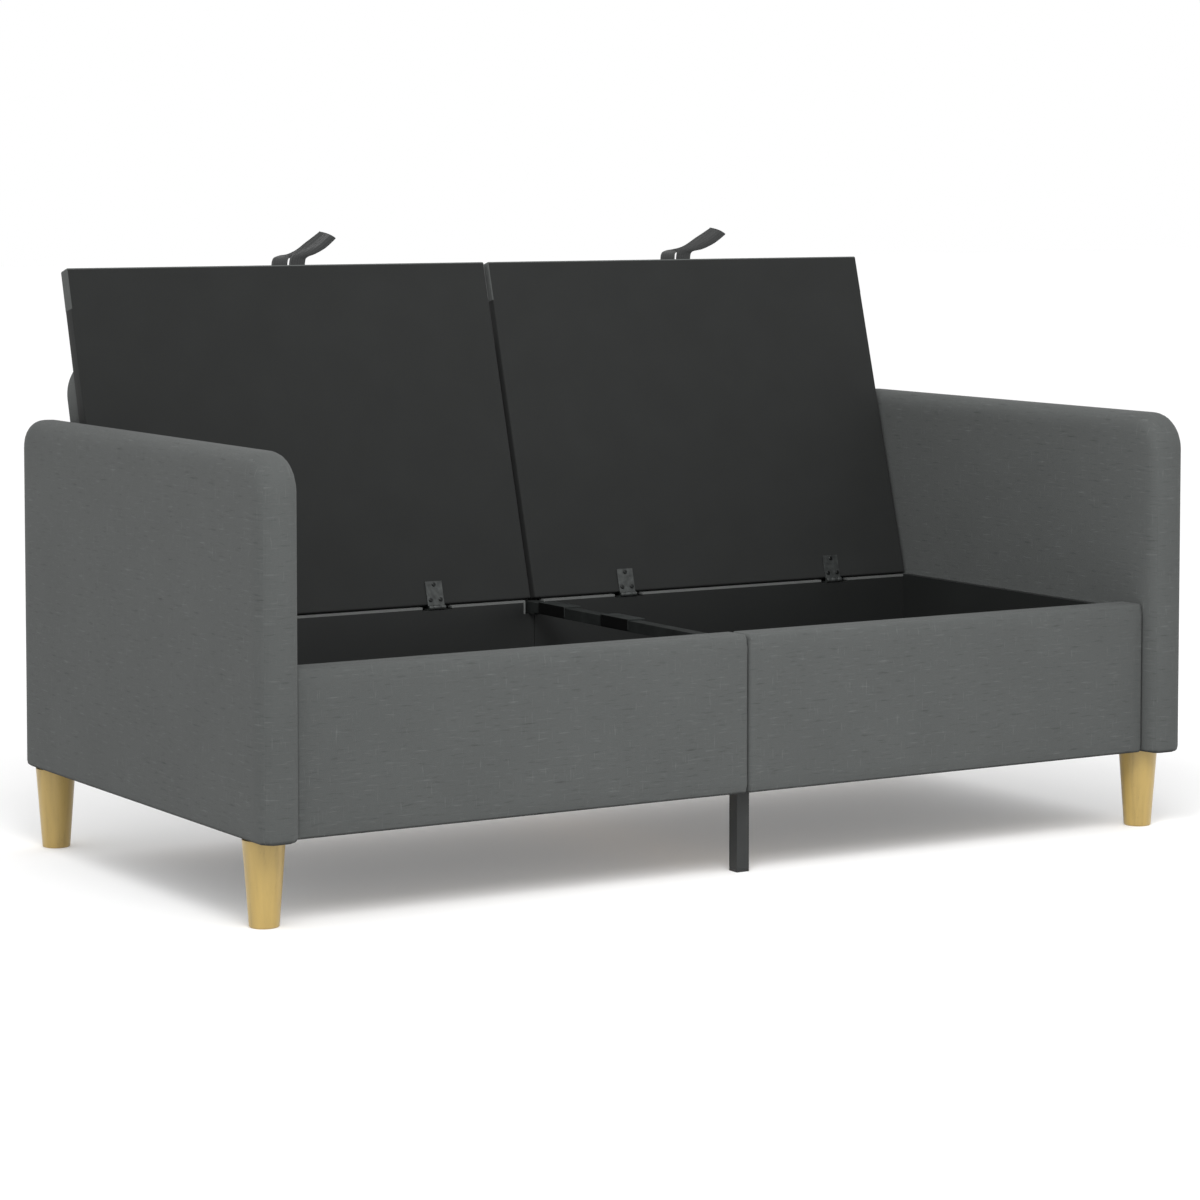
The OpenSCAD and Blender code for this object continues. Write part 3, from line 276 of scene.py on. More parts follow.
# A node's mesh as a piece of its own, merged, and reduced to its outer skin, and that skin's
# surface to measure from
def outer_skin(node, name):
    piece = frame["nodes"][node].copy()
    piece.data = piece.data.copy()
    piece.name = piece.data.name = name
    for key in list(piece.keys()):
        del piece[key]
    bpy.context.scene.collection.objects.link(piece)
    piece.parent = None
    piece.matrix_world = Matrix()
    piece.modifiers.clear()
    edit_all(piece)
    bpy.ops.mesh.remove_doubles(threshold=0.00002)
    bpy.ops.mesh.convex_hull()
    bpy.ops.mesh.normals_make_consistent(inside=False)
    leave_edit()
    piece.data.materials.clear()
    corners = [v.co.copy() for v in piece.data.vertices]
    return piece, BVHTree.FromPolygons(corners, [list(f.vertices) for f in piece.data.polygons])


def apply_all(piece):
    hold(piece)
    for modifier in list(piece.modifiers):
        bpy.ops.object.modifier_apply(modifier=modifier.name)


# Even quads of one size over the whole skin
def even_mesh(piece, size):
    remesh = piece.modifiers.new("even", "REMESH")
    remesh.mode = "VOXEL"
    remesh.voxel_size = size
    smooth = piece.modifiers.new("relax", "SMOOTH")
    smooth.factor = 0.5
    smooth.iterations = 2
    apply_all(piece)


def spots(piece):
    found = np.empty(3 * len(piece.data.vertices))
    piece.data.vertices.foreach_get("co", found)
    return found.reshape(-1, 3)


def move_spots(piece, places):
    piece.data.vertices.foreach_set("co", np.asarray(places, float).ravel())
    piece.data.update()


# Foam swells under its cloth: a cloth simulation with pressure. The skin starts drawn in by
# the depth given, and no point may move further than that
def swell(piece, depth, frames=16):
    edit_all(piece)
    bpy.ops.transform.shrink_fatten(value=-depth)
    leave_edit()
    start = spots(piece)
    cloth = piece.modifiers.new("swell", "CLOTH")
    cloth.settings.quality = 4
    cloth.settings.mass = 0.3
    cloth.settings.tension_stiffness = 25
    cloth.settings.compression_stiffness = 25
    cloth.settings.bending_stiffness = 1.5
    cloth.settings.use_pressure = True
    cloth.settings.uniform_pressure_force = 4
    cloth.settings.effector_weights.gravity = 0
    cloth.collision_settings.use_collision = False
    cloth.point_cache.frame_start = 1
    cloth.point_cache.frame_end = frames
    scene = bpy.context.scene
    for step in range(1, frames + 1):
        scene.frame_set(step)
    shown = piece.evaluated_get(bpy.context.evaluated_depsgraph_get())
    moved = np.empty(3 * len(shown.data.vertices))
    shown.data.vertices.foreach_get("co", moved)
    step = moved.reshape(-1, 3) - start
    far = np.linalg.norm(step, axis=1, keepdims=True)
    step *= np.minimum(1, depth / np.maximum(far, 1e-9))
    piece.modifiers.clear()
    scene.frame_set(1)
    move_spots(piece, start + step)


# Keeps every point between the outer skin and a depth below it, so the frame stays covered
def hold_skin(piece, skin, depth):
    held = []
    for vertex in piece.data.vertices:
        near, normal, _, _ = skin.find_nearest(vertex.co)
        below = (near - vertex.co).dot(normal)
        held.append(near - normal * min(depth, max(0.0, below)))
    move_spots(piece, held)


# Hand-made irregularities of stretched cloth, in metres
def ripple(piece, height, scale, seed):
    piece.data.update()
    normals = np.empty(3 * len(piece.data.vertices))
    piece.data.vertex_normals.foreach_get("vector", normals)
    places = spots(piece)
    lift = np.array([noise.noise(Vector((p[0] + seed, p[1], p[2])) * scale) for p in places])
    move_spots(piece, places + normals.reshape(-1, 3) * (lift * height)[:, None])


# Lays the cloth's threads on the skin: across and up, in metres, by each face's direction
def lay_weave(piece, top_turned=False):
    mesh = piece.data
    layer = mesh.uv_layers.new(name="weave")
    normals = np.empty(3 * len(mesh.polygons))
    mesh.polygon_normals.foreach_get("vector", normals)
    facing = np.abs(normals.reshape(-1, 3)).argmax(axis=1)
    corners = np.empty(len(mesh.loops), dtype=int)
    mesh.loops.foreach_get("vertex_index", corners)
    counts = np.empty(len(mesh.polygons), dtype=int)
    mesh.polygons.foreach_get("loop_total", counts)
    facing = np.repeat(facing, counts)
    places = spots(piece)[corners]
    top = (1, 0) if top_turned else (0, 1)
    pick = np.array([(1, 2), (0, 2), top])[facing]
    uv = np.take_along_axis(places, pick, axis=1)
    layer.data.foreach_set("uv", uv.ravel())


def shade_soft(piece, angle=60):
    hold(piece)
    bpy.ops.object.shade_smooth_by_angle(angle=math.radians(angle))
    for modifier in list(piece.modifiers):
        bpy.ops.object.modifier_apply(modifier=modifier.name)


# Grey linen-look cloth: a fine plain weave, short thick slubs along the weft, fewer along
# the warp, and a heathered tone. Where the surface turns to face down, painted shade darkens it
def woven_cloth(name, colour):
    cloth, shader = start_material(name, colour, 0.92)
    shader.inputs["Sheen Weight"].default_value = 0.04
    shader.inputs["Sheen Roughness"].default_value = 0.5
    shader.inputs["Specular IOR Level"].default_value = 0.22
    weft = stretched_noise(cloth, (38, 300, 1), 1, uv="weave")
    warp = stretched_noise(cloth, (300, 38, 1), 1, uv="weave")
    fine_weft = stretched_noise(cloth, (140, 900, 1), 2, uv="weave")
    fleck = stretched_noise(cloth, (520, 520, 1), 3, uv="weave")
    cloudy = stretched_noise(cloth, (9, 9, 1), 3, uv="weave")
    soft_start = 0.02
    thick_weft = sums(cloth, "SMOOTH_MAX", sums(cloth, "SUBTRACT", weft, 0.62), 0.0, soft_start)
    thin_weft = sums(cloth, "SMOOTH_MAX", sums(cloth, "SUBTRACT", 0.38, weft), 0.0, soft_start)
    thick_warp = sums(cloth, "SMOOTH_MAX", sums(cloth, "SUBTRACT", warp, 0.65), 0.0, soft_start)
    place = cloth.node_tree.nodes.new("ShaderNodeUVMap")
    place.uv_map = "weave"
    threads = []
    for direction in ("X", "Y"):
        wave = add_node(cloth, "ShaderNodeTexWave", Scale=230.0, Distortion=1.2)
        wave.inputs["Detail Scale"].default_value = 1.5
        wave.bands_direction = direction
        wire(cloth, place.outputs["UV"], wave.inputs["Vector"])
        threads.append(wave.outputs["Fac"])
    crossing = sums(cloth, "MULTIPLY", threads[0], threads[1])
    tone = 0.5
    for pattern, gain in ((fleck, 0.12), (fine_weft, 0.13), (cloudy, 0.12)):
        swing = sums(cloth, "SUBTRACT", pattern, 0.5)
        tone = sums(cloth, "ADD", tone, sums(cloth, "MULTIPLY", swing, gain))
    slub_gain = 1.1
    for kind, slub in (("ADD", thick_weft), ("SUBTRACT", thin_weft), ("ADD", thick_warp)):
        tone = sums(cloth, kind, tone, sums(cloth, "MULTIPLY", slub, slub_gain))
    gaps = sums(cloth, "SUBTRACT", 0.25, crossing)
    tone = sums(cloth, "SUBTRACT", tone, sums(cloth, "MULTIPLY", gaps, 0.2))
    place = cloth.node_tree.nodes.new("ShaderNodeTexCoord")
    facing = cloth.node_tree.nodes.new("ShaderNodeSeparateXYZ")
    wire(cloth, place.outputs["Normal"], facing.inputs[0])
    # Painted shade: the colour darkens towards black the further a face points downwards
    down_from, down_gain = -0.35, 1.3
    down = sums(cloth, "SUBTRACT", down_from, facing.outputs["Z"])
    painted_under_shade = sums(cloth, "MULTIPLY", sums(cloth, "MAXIMUM", down, 0.0), down_gain)
    tone = sums(cloth, "SUBTRACT", tone, painted_under_shade)
    wire(cloth, colour_by(cloth, tone, [(0.0, tint(colour, 0.2)), (0.15, tint(colour, 0.55)),
         (0.5, colour), (0.9, tint(colour, 1.55))]), shader.inputs["Base Color"])
    height = sums(cloth, "ADD", sums(cloth, "MULTIPLY", crossing, 0.5),
                  sums(cloth, "MULTIPLY", thick_weft, 3.0))
    height = sums(cloth, "ADD", height, sums(cloth, "MULTIPLY", thick_warp, 2.4))
    raise_surface(cloth, shader, height, 0.45, 0.0006)
    return cloth


sofa_cloth_colour = (0.0695, 0.0737, 0.0722)
sofa_cloth = woven_cloth("sofa_cloth", sofa_cloth_colour)


# A padded piece made from a node's outer skin, and its place in the part. A leaning one is
# meshed upright, so that its edges stay straight
def upholster(node, name, depth, size, top_turned=False, lean=0.0, crisp=None):
    piece, skin = outer_skin(node, name)
    piece.data.transform(Matrix.Rotation(lean, 4, "X"))
    even_mesh(piece, size)
    piece.data.transform(Matrix.Rotation(-lean, 4, "X"))
    swell(piece, depth)
    ripple(piece, height=0.00035, scale=9.0, seed=len(name))
    hold_skin(piece, skin, depth)
    if crisp:
        crisp(piece, skin)
    lay_weave(piece, top_turned)
    shade_soft(piece)
    piece.data.materials.append(sofa_cloth)
    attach(piece, "sofa")
    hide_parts(node)
    return piece


for side in ("left", "right"):
    upholster(f"arm_cover_{side}", f"arm_cloth_{side}", depth=0.0009, size=0.006,
              top_turned=True)


# Front panels
# Two padded panels that meet in the middle of the front, 8 mm of foam over a batten frame.
# Their upper and lower edges are crowned, and the centre leg's plate is let in from below.
plate_half, plate_front, plate_top = 0.0605, -0.3485, 0.1182
panel_seam = min(abs(corner[0]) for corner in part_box("front_cover_right"))


# Brings the points near the corner between a panel's seam end and its faces out to it. The
# faces are measured a little way in from the end
def crisp_end(piece, skin, reach=0.0024, step_in=0.008, inset=0.0002):
    seam = math.copysign(panel_seam, piece.data.vertices[0].co.x)
    into = math.copysign(1, seam)
    for vertex in piece.data.vertices:
        p = vertex.co
        if abs(p.x - seam) > reach:
            continue
        beside = Vector((seam + into * step_in, p.y, p.z))
        near = skin.find_nearest(beside)[0]
        if (near - beside).length < reach:
            vertex.co = (seam + into * inset, near.y, near.z)


for side in ("left", "right"):
    cloth = upholster(f"front_cover_{side}", f"front_cloth_{side}", depth=0.0009, size=0.0045,
                      crisp=crisp_end)
    for vertex in cloth.data.vertices:
        p = vertex.co
        if abs(p.x) < plate_half and plate_front < p.y and p.z < plate_top:
            p.z = plate_top


# Rear of the box
# Thin padded skins in the sofa's cloth over the rear frames, under the backrest.
for side in ("left", "right"):
    upholster(f"rear_cover_{side}", f"rear_cloth_{side}", depth=0.0006, size=0.004)


# Backrest
# Two padded halves that lean back over the box, with rounded upper edges and outer corners,
# held by the flat bars behind them.
hinge = next(j for j in frame["record"]["behaviour"]["joints"] if j["name"] == "lid_left_hinge")
open_angle = math.radians(hinge["range_deg"][1])
back_lean = open_angle - math.pi / 2

# The outer ends are drawn in by end_pull, which fades in over end_fade from end_from outwards
end_from, end_fade, end_pull = 0.6, 0.06, 0.0065


# Brings the points near the edges round the outer end out to them, a little rounded
def crisp_rim(piece, skin, reach=0.0052, wall_inset=0.0012, face_inset=0.0008):
    upright = Matrix.Rotation(back_lean, 4, "X")
    leaning = upright.inverted()
    rows = [upright @ v.co for v in piece.data.vertices]
    faces = min(p.y for p in rows), max(p.y for p in rows)
    middle = sum(faces) / 2
    for vertex, p in zip(piece.data.vertices, rows):
        face = faces[0] if p.y < middle else faces[1]
        if abs(p.x) < end_from or abs(p.y - face) > reach:
            continue
        wall, normal, _, far = skin.find_nearest(leaning @ Vector((p.x, middle, p.z)))
        wall, normal = upright @ wall, upright.to_3x3() @ normal
        if far < reach and -0.5 < normal.z < 0.9:
            edge = skin.find_nearest(leaning @ Vector((wall.x, face, wall.z)))[0]
            out = Vector((0, face - middle, 0)).normalized()
            drawn = normal * wall_inset + out * face_inset
            vertex.co = edge - leaning.to_3x3() @ drawn


for side, way in (("left", -1), ("right", 1)):
    cloth = upholster(f"back_cover_{side}", f"back_cloth_{side}", depth=0.0009, size=0.006,
                      lean=back_lean, crisp=crisp_rim)
    for vertex in cloth.data.vertices:
        share = max(0.0, min(1.0, (abs(vertex.co.x) - end_from) / end_fade))
        vertex.co.x -= way * end_pull * share * share * (3 - 2 * share)


# Wooden legs
# Four turned legs of light beech, tapered to the floor, with fine long grain, short darker
# flecks and a satin lacquer. Each is screwed up into its arm.
beech_colour = (0.375, 0.258, 0.072)
beech, shader = start_material("light_beech", beech_colour, 0.38)
shader.inputs["Coat Weight"].default_value = 0.25
shader.inputs["Coat Roughness"].default_value = 0.3
grain = stretched_noise(beech, (90, 90, 5), 4)
flecks = stretched_noise(beech, (800, 800, 120), 2)
dark_fleck = sums(beech, "SMOOTH_MAX", sums(beech, "SUBTRACT", flecks, 0.6), 0.0, 0.02)
mixed = sums(beech, "SUBTRACT", grain, sums(beech, "MULTIPLY", dark_fleck, 0.9))
wire(beech, colour_by(beech, mixed, [(0.2, tint(beech_colour, 0.68)), (0.42, beech_colour),
     (0.62, tint(beech_colour, 1.1)), (0.8, tint(beech_colour, 1.2))]),
     shader.inputs["Base Color"])
raise_surface(beech, shader, flecks, 0.12, 0.0002)
legs = [f"leg_{end}_{side}" for end in ("front", "rear") for side in ("left", "right")]
dress(beech, *legs)


# Foot of the centre leg
# A moulded black plastic cap pushed into the tube, with a dull grained surface.
plastic_colour = (0.012, 0.012, 0.012)
plastic, shader = start_material("moulded_plastic", plastic_colour, 0.55)
peel = stretched_noise(plastic, (900, 900, 900), 2)
wire(plastic, colour_by(plastic, peel, [(0.3, tint(plastic_colour, 0.8)),
     (0.7, tint(plastic_colour, 1.4))]), shader.inputs["Base Color"])
raise_surface(plastic, shader, peel, 0.3, 0.0004)
dress(plastic, "centre_leg_foot")


# Lids
# A board wrapped in thin black non-woven lining, folded and stapled, with faint creases across
# it. The front edge and 60 mm of the top are covered in the sofa's cloth instead.
pin = Vector(hinge["pos_m"])
swung = (Matrix.Translation(pin) @ Matrix.Rotation(-open_angle, 4, "X")
         @ Matrix.Translation(-pin))
lid_under = 0.3285
lid_over = lid_under + 0.023
lid_front = -0.312
lid_rear = pin.y - 0.005
lid_inner = 0.00375
lid_outer = 0.695
band_width = 0.06
lid_edge_r = 0.0022
lining_thick = 0.0018
band_lift = 0.0003
crease_fade = 0.03

lining_colour = (0.0084, 0.0093, 0.0089)
lining, shader = start_material("black_lining", lining_colour, 0.86)
shader.inputs["Sheen Weight"].default_value = 0.02
shader.inputs["Specular IOR Level"].default_value = 0.35
shader.inputs["Sheen Roughness"].default_value = 0.6
fibres = stretched_noise(lining, (420, 1300, 1), 4, uv="weave")
cross_fibres = stretched_noise(lining, (1300, 420, 1), 4, uv="weave")
cloudy = stretched_noise(lining, (12, 12, 1), 4, uv="weave")
place = lining.node_tree.nodes.new("ShaderNodeUVMap")
place.uv_map = "weave"
bonds = add_node(lining, "ShaderNodeTexVoronoi", Scale=620.0, Randomness=0.15)
wire(lining, place.outputs["UV"], bonds.inputs["Vector"])
mixed = sums(lining, "ADD", sums(lining, "MULTIPLY", fibres, 0.35),
             sums(lining, "MULTIPLY", cross_fibres, 0.35))
mixed = sums(lining, "ADD", mixed, sums(lining, "MULTIPLY", cloudy, 0.3))
wire(lining, colour_by(lining, mixed, [(0.3, tint(lining_colour, 0.72)), (0.5, lining_colour),
     (0.7, tint(lining_colour, 1.35))]), shader.inputs["Base Color"])
raise_surface(lining, shader, sums(lining, "ADD", bonds.outputs["Distance"], mixed), 0.3, 0.0004)


# The closed lid's outer faces with eased edges, cut into a grid fine enough for creases
def lid_block(name, low, high, band_edge):
    middle = [(a + b) / 2 for a, b in zip(low, high)]
    deselect()
    bpy.ops.mesh.primitive_cube_add(size=1, location=middle)
    piece = bpy.context.object
    piece.name = piece.data.name = name
    bpy.ops.transform.resize(value=[b - a for a, b in zip(low, high)])
    bpy.ops.object.transform_apply(location=True, rotation=True, scale=True)
    edit_all(piece)
    bpy.ops.mesh.bevel(offset=lid_edge_r, segments=3, affect="EDGES")
    wide, deep = 0.012, 0.010
    cuts = [((x, 0, 0), (1, 0, 0)) for x in np.arange(low[0] + wide, high[0] - wide / 2, wide)]
    cuts += [((0, y, 0), (0, 1, 0)) for y in np.arange(band_edge, high[1] - deep / 2, deep)]
    cuts += [((0, y, 0), (0, 1, 0)) for y in np.arange(low[1] + deep, band_edge - 0.004, deep)]
    for place, way in cuts:
        bpy.ops.mesh.select_all(action="SELECT")
        bpy.ops.mesh.bisect(plane_co=place, plane_no=way)
    leave_edit()
    return piece


# Enters edit mode with only the faces selected whose middle and direction pass a test
def pick_faces(piece, test):
    edit_all(piece)
    bpy.ops.mesh.select_mode(type="FACE")
    bpy.ops.mesh.select_all(action="DESELECT")
    leave_edit()
    for face in piece.data.polygons:
        face.select = bool(test(face.center, face.normal))
    bpy.ops.object.mode_set(mode="EDIT")


def thicken(piece, thickness):
    wall = piece.modifiers.new("wall", "SOLIDIFY")
    wall.thickness = thickness
    wall.offset = -1
    wall.use_even_offset = True
    apply_all(piece)


def swing_open(piece):
    piece.data.transform(swung)
    piece.data.update()


for side, way in (("left", -1), ("right", 1)):
    x_ends = sorted((way * lid_inner, way * lid_outer))
    low = (x_ends[0], lid_front, lid_under)
    high = (x_ends[1], lid_rear, lid_over)
    band_edge = lid_front + band_width
    wrap = lid_block(f"lid_wrap_{side}", low, high, band_edge)
    pick_faces(wrap, lambda c, n: c.y < lid_front + lid_edge_r or c.y < band_edge and n.z > -0.9)
    bpy.ops.mesh.separate(type="SELECTED")
    leave_edit()
    band = next(o for o in bpy.context.selected_objects if o != wrap)
    band.name = band.data.name = f"lid_band_cloth_{side}"

    for vertex in wrap.data.vertices:
        p = vertex.co
        if p.z > lid_under + 0.0002:
            continue
        rim = min(p.x - low[0], high[0] - p.x, p.y - low[1], high[1] - p.y)
        crease = noise.noise(Vector((p.x * 2.2 + way, p.y * 15, 0.3)))
        dent = noise.noise(Vector((p.x * 5, p.y * 7 + way, 1.7)))
        p.z += min(1, rim / crease_fade) * max(0, 0.0005 + 0.0007 * crease + 0.0004 * dent)
    thicken(wrap, lining_thick)
    lay_weave(wrap)
    swing_open(wrap)
    shade_soft(wrap, 50)
    wrap.data.materials.append(lining)
    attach(wrap, f"lid_{side}")
    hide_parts(f"lid_lining_{side}")

    edit_all(band)
    bpy.ops.transform.shrink_fatten(value=band_lift)
    leave_edit()
    thicken(band, lining_thick)
    lay_weave(band)
    swing_open(band)
    shade_soft(band, 50)
    band.data.materials.append(sofa_cloth)
    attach(band, f"lid_{side}")
    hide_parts(f"lid_band_{side}")


# Hinges
# Small pressed steel butt hinges, two to a lid, with rolled knuckles round a steel pin. The
# lid leaf is held by three pan-head screws with cross recesses.
hinge_steel_colour = (0.048, 0.0515, 0.0505)
hinge_steel, shader = start_material("hinge_steel", hinge_steel_colour, 0.42, 0.6)
marks = stretched_noise(hinge_steel, (300, 2200, 2200), 2)
wire(hinge_steel, colour_by(hinge_steel, stretched_noise(hinge_steel, (120, 120, 120), 3),
     [(0.3, tint(hinge_steel_colour, 0.7)), (0.7, tint(hinge_steel_colour, 1.5))]),
     shader.inputs["Base Color"])
raise_surface(hinge_steel, shader, marks, 0.2, 0.0002)
dress(hinge_steel, "hinge_base_leaves", "hinge_pins", "hinge_base_screws",
      "hinge_lid_leaves_left", "hinge_lid_leaves_right")
for name in ("hinge_base_leaves", "hinge_lid_leaves_left", "hinge_lid_leaves_right"):
    ease_edges(name, 0.0003, 50)

screw_steel_colour = (0.022, 0.0235, 0.023)
screw_steel, shader = start_material("dark_screw_steel", screw_steel_colour, 0.3, 0.8)
marks = stretched_noise(screw_steel, (1500, 1500, 1500), 2)
wire(screw_steel, colour_by(screw_steel, marks, [(0.3, tint(screw_steel_colour, 0.6)),
     (0.7, tint(screw_steel_colour, 1.7))]), shader.inputs["Base Color"])
raise_surface(screw_steel, shader, marks, 0.2, 0.0002)

screw_head_r = 0.00325
screw_head_h = 0.0018
screw_head_round = 0.0011
screw_shank_r = 0.00175
screw_long = 0.013
recess_size = (0.0034, 0.0007, 0.0018)
recess_turn = 20


# One pan-head screw, its head downwards from the origin and its shank upwards
def pan_head_screw(name):
    deselect()
    bpy.ops.mesh.primitive_cylinder_add(vertices=32, radius=screw_head_r, depth=screw_head_h,
                                        location=(0, 0, -screw_head_h / 2))
    screw = bpy.context.object
    screw.name = screw.data.name = name
    bpy.ops.object.transform_apply(location=True, rotation=True, scale=True)
    pick_faces(screw, lambda c, n: n.z < -0.9)
    bpy.ops.mesh.bevel(offset=screw_head_round, segments=4, affect="EDGES")
    leave_edit()
    pick_faces(screw, lambda c, n: n.z > 0.9)
    bpy.ops.mesh.inset(thickness=screw_head_r - screw_shank_r)
    bpy.ops.mesh.extrude_region_move(TRANSFORM_OT_translate={"value": (0, 0, screw_long)})
    leave_edit()
    for turn in (0, 90):
        deselect()
        bpy.ops.mesh.primitive_cube_add(size=1, location=(0, 0, -screw_head_h))
        slot_tool = bpy.context.object
        slot_tool.scale = recess_size
        slot_tool.rotation_euler.z = math.radians(turn + recess_turn)
        bpy.ops.object.transform_apply(location=True, rotation=True, scale=True)
        recess = screw.modifiers.new("recess", "BOOLEAN")
        recess.operation = "DIFFERENCE"
        recess.object = slot_tool
        apply_all(screw)
        bpy.data.objects.remove(slot_tool)
    shade_soft(screw, 35)
    screw.data.materials.append(screw_steel)
    return screw


def copy_to(piece, name, place):
    copied = piece.copy()
    copied.data = piece.data.copy()
    copied.name = copied.data.name = name
    copied.data.transform(place)
    bpy.context.scene.collection.objects.link(copied)
    return copied


leaf_thick = 0.0015
hinge_spots = (0.168, 0.553)
lid_screw_spots = ((0, 0.035), (-0.0085, 0.012), (0.0085, 0.012))
pattern = pan_head_screw("screw_pattern")
for side, way in (("left", -1), ("right", 1)):
    made = []
    for hinge_x in hinge_spots:
        for across, back in lid_screw_spots:
            spot = Vector((way * (hinge_x + across), pin.y - back, lid_under - leaf_thick))
            turn = Matrix.Rotation(across * 90 + back * 40 + hinge_x, 4, "Z")
            made.append(copy_to(pattern, "screw", swung @ Matrix.Translation(spot) @ turn))
    deselect()
    for piece in made:
        piece.select_set(True)
    bpy.context.view_layer.objects.active = made[0]
    bpy.ops.object.join()
    made[0].name = made[0].data.name = f"lid_screws_{side}"
    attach(made[0], f"lid_{side}")
    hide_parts(f"hinge_lid_screws_{side}")
bpy.data.objects.remove(pattern)


# Pull straps
# One strip of black ribbed webbing per lid, both ends sewn side by side to the front edge, so
# that it makes a loop that has fallen over to the right.
strap_width = 0.026
strap_thick = 0.0016
strap_root = lid_under + 0.0165
strap_gap = 0.0003
strap_strips = 8
cupped = 0.004

webbing_colour = (0.015, 0.016, 0.016)
webbing, shader = start_material("ribbed_webbing", webbing_colour, 0.36)
shader.inputs["Specular IOR Level"].default_value = 0.4
shader.inputs["Sheen Weight"].default_value = 0.05
shader.inputs["Sheen Roughness"].default_value = 0.35
place = webbing.node_tree.nodes.new("ShaderNodeUVMap")
place.uv_map = "weave"
ribs = add_node(webbing, "ShaderNodeTexWave", Scale=150.0, Distortion=0.4)
ribs.bands_direction = "Y"
rows = add_node(webbing, "ShaderNodeTexWave", Scale=75.0, Distortion=0.3)
rows.bands_direction = "X"
for wave in (ribs, rows):
    wire(webbing, place.outputs["UV"], wave.inputs["Vector"])
height = sums(webbing, "ADD", sums(webbing, "MULTIPLY", ribs.outputs["Fac"], 0.7),
              sums(webbing, "MULTIPLY", rows.outputs["Fac"], 0.4))
wire(webbing, colour_by(webbing, height, [(0.1, tint(webbing_colour, 0.6)),
     (0.6, webbing_colour), (1.0, tint(webbing_colour, 1.8))]), shader.inputs["Base Color"])
raise_surface(webbing, shader, height, 0.6, 0.0005)


# A smooth curve through the points, with so many steps between each two
def route(points, steps):
    points = [Vector(p) for p in points]
    found = []
    for i in range(len(points) - 1):
        before, a = points[max(i - 1, 0)], points[i]
        b, after = points[i + 1], points[min(i + 2, len(points) - 1)]
        for s in range(steps):
            t = s / steps
            found.append(0.5 * (2 * a + (b - before) * t
                                + (2 * before - 5 * a + 4 * b - after) * t * t
                                + (3 * a - before - 3 * b + after) * t ** 3))
    return found


# The loop's middle line in millimetres: to the right, out from the lid's edge, and up. Its
# left end bends over behind the right one
def strap_line(reach):
    out = route([(-14.5, 0, 0), (-14.1, 3.5, 0), (-13.2, 7.4, 0.2), (-11.5, 11.2, 1.2),
                 (-8.8, 14.4, 3), (-4.6, 16.7, 5.2), (1, 18, 7), (8.5, 18.9, 7.8),
                 (16.5, 19.7, 7.4), (0.36 * reach, 22, 6), (0.52 * reach, 26.6, 4.4),
                 (0.76 * reach, 36.8, 1.4), (reach, 48, -1.6)], 5)
    back = route([(14.5, 0, 0), (15.4, 5, -0.1), (16.6, 10, -0.5), (18.2, 14, -1.4),
                  (22.5, 17.5, -2.6), (0.44 * reach, 21.2, -3.6), (0.62 * reach, 28.5, -4.4),
                  (0.82 * reach, 38, -4.8), (reach, 48, -4.8)], 5)
    end = [Vector((reach, 48, -3.2)) + 1.6 * Vector((0.5 * math.cos(a), 0.86 * math.cos(a),
           math.sin(a))) for a in np.radians(range(90, -91, -20))]
    return out + end + back[::-1]


# Past its root the webbing turns from lying along X to this slant: the turn starts 4 mm left of
# the root's middle and 12 mm out, and is complete 36 and 22 mm further on. Offsets are in mm too
slant = Vector((0.83, -0.47, -0.3))
for side, way, offset, reach in (("left", -1, 18.5, 72), ("right", 1, 7.0, 88)):
    line = strap_line(reach)
    deselect()
    bpy.ops.mesh.primitive_grid_add(x_subdivisions=strap_strips,
                                    y_subdivisions=len(line) - 1, size=1)
    strap = bpy.context.object
    strap.name = strap.data.name = f"strap_{side}"
    middle_x = way * (lid_inner + lid_outer) / 2 + offset / 1000
    gone = [0.0]
    for a, b in zip(line, line[1:]):
        gone.append(gone[-1] + (b - a).length / 1000)
    places, laid = [], []
    for i, p in enumerate(line):
        share = max(0, min(1, (p.x + 4) / 36, (p.y - 12) / 22))
        across = (Vector((1, 0, 0)).lerp(slant, share)).normalized()
        for j in range(strap_strips + 1):
            side_way = (j / strap_strips - 0.5) * strap_width
            q = p / 1000 + across * side_way
            q.z += cupped * share * (2 * j / strap_strips - 1) ** 2
            places.append(swung @ Vector((middle_x + q.x, lid_front - strap_gap - q.y,
                                          strap_root + q.z)))
            laid.append((side_way, gone[i]))
    move_spots(strap, [tuple(p) for p in places])
    layer = strap.data.uv_layers.active
    layer.name = "weave"
    for corner in strap.data.loops:
        layer.data[corner.index].uv = laid[corner.vertex_index]
    wall = strap.modifiers.new("thick", "SOLIDIFY")
    wall.thickness = strap_thick
    wall.offset = 0
    eased = strap.modifiers.new("eased", "BEVEL")
    eased.width = 0.0003
    eased.segments = 2
    eased.limit_method = "ANGLE"
    apply_all(strap)
    shade_soft(strap, 50)
    strap.data.materials.append(webbing)
    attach(strap, f"lid_{side}")
    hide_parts(f"pull_strap_{side}")


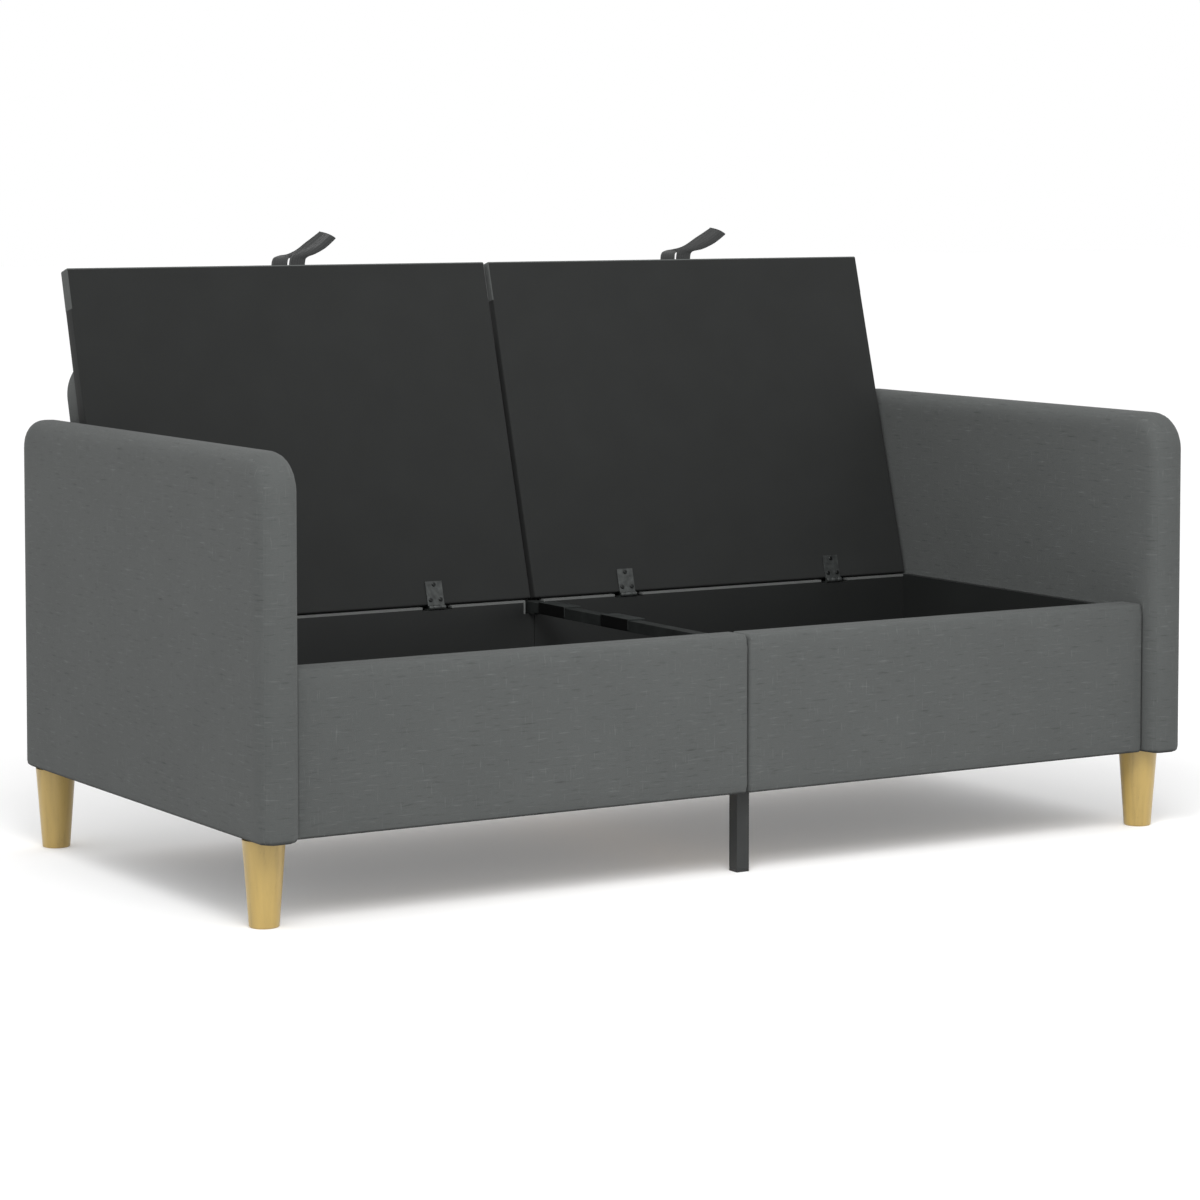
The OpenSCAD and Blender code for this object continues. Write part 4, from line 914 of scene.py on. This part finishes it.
# Studio
# A plain pale floor, a soft white surround, a large soft lamp in front and a small one that
# fills the right arm's inner face. The camera stands where the photo's did.
floor_colour = (0.86, 0.86, 0.86)
floor_paint, shader = start_material("pale_floor", floor_colour, 0.9)
cloudy = stretched_noise(floor_paint, (3, 3, 3), 3)
wire(floor_paint, colour_by(floor_paint, cloudy, [(0.3, tint(floor_colour, 0.99)),
     (0.7, tint(floor_colour, 1.01))]), shader.inputs["Base Color"])
shader.inputs["Emission Color"].default_value = (1, 1, 1, 1)
shader.inputs["Emission Strength"].default_value = 0.16
deselect()
bpy.ops.mesh.primitive_plane_add(size=60, location=(0, 0, 0))
floor = bpy.context.object
floor.name = "studio_floor"
floor.data.materials.append(floor_paint)

world = bpy.data.worlds.new("soft_white")
bpy.context.scene.world = world
world.use_nodes = True
world.node_tree.nodes["Background"].inputs["Color"].default_value = (1, 1, 1, 1)
world.node_tree.nodes["Background"].inputs["Strength"].default_value = 1.0


def soft_lamp(name, place, aim, size, power, spread):
    lamp = bpy.data.lights.new(name, "AREA")
    lamp.spread = math.radians(spread)
    lamp.shape = "RECTANGLE"
    lamp.size, lamp.size_y = size
    lamp.energy = power
    stand = bpy.data.objects.new(name, lamp)
    bpy.context.scene.collection.objects.link(stand)
    stand.location = place
    stand.rotation_euler = (Vector(aim) - Vector(place)).to_track_quat("-Z", "Y").to_euler()


soft_lamp("key_lamp", (-1.1, -2.2, 2.6), (0.1, 0, 0.4), (1.6, 1.6), 52, 180)
soft_lamp("fill_lamp", (-0.8, -1.1, 1.9), (0.45, 0.1, 0.42), (0.9, 0.9), 3.6, 70)

camera_lens = bpy.data.cameras.new("camera")
camera_lens.sensor_width = 36
camera_lens.lens = 112.35
camera_lens.shift_y = -0.15
camera = bpy.data.objects.new("camera", camera_lens)
bpy.context.scene.collection.objects.link(camera)
camera.location = (-2.8566, -4.6448, 0.9804)
camera.rotation_euler = (math.radians(90 - 3.852), 0, math.radians(-31.445))
bpy.context.scene.camera = camera
bpy.context.scene.view_settings.view_transform = "Standard"

deselect()
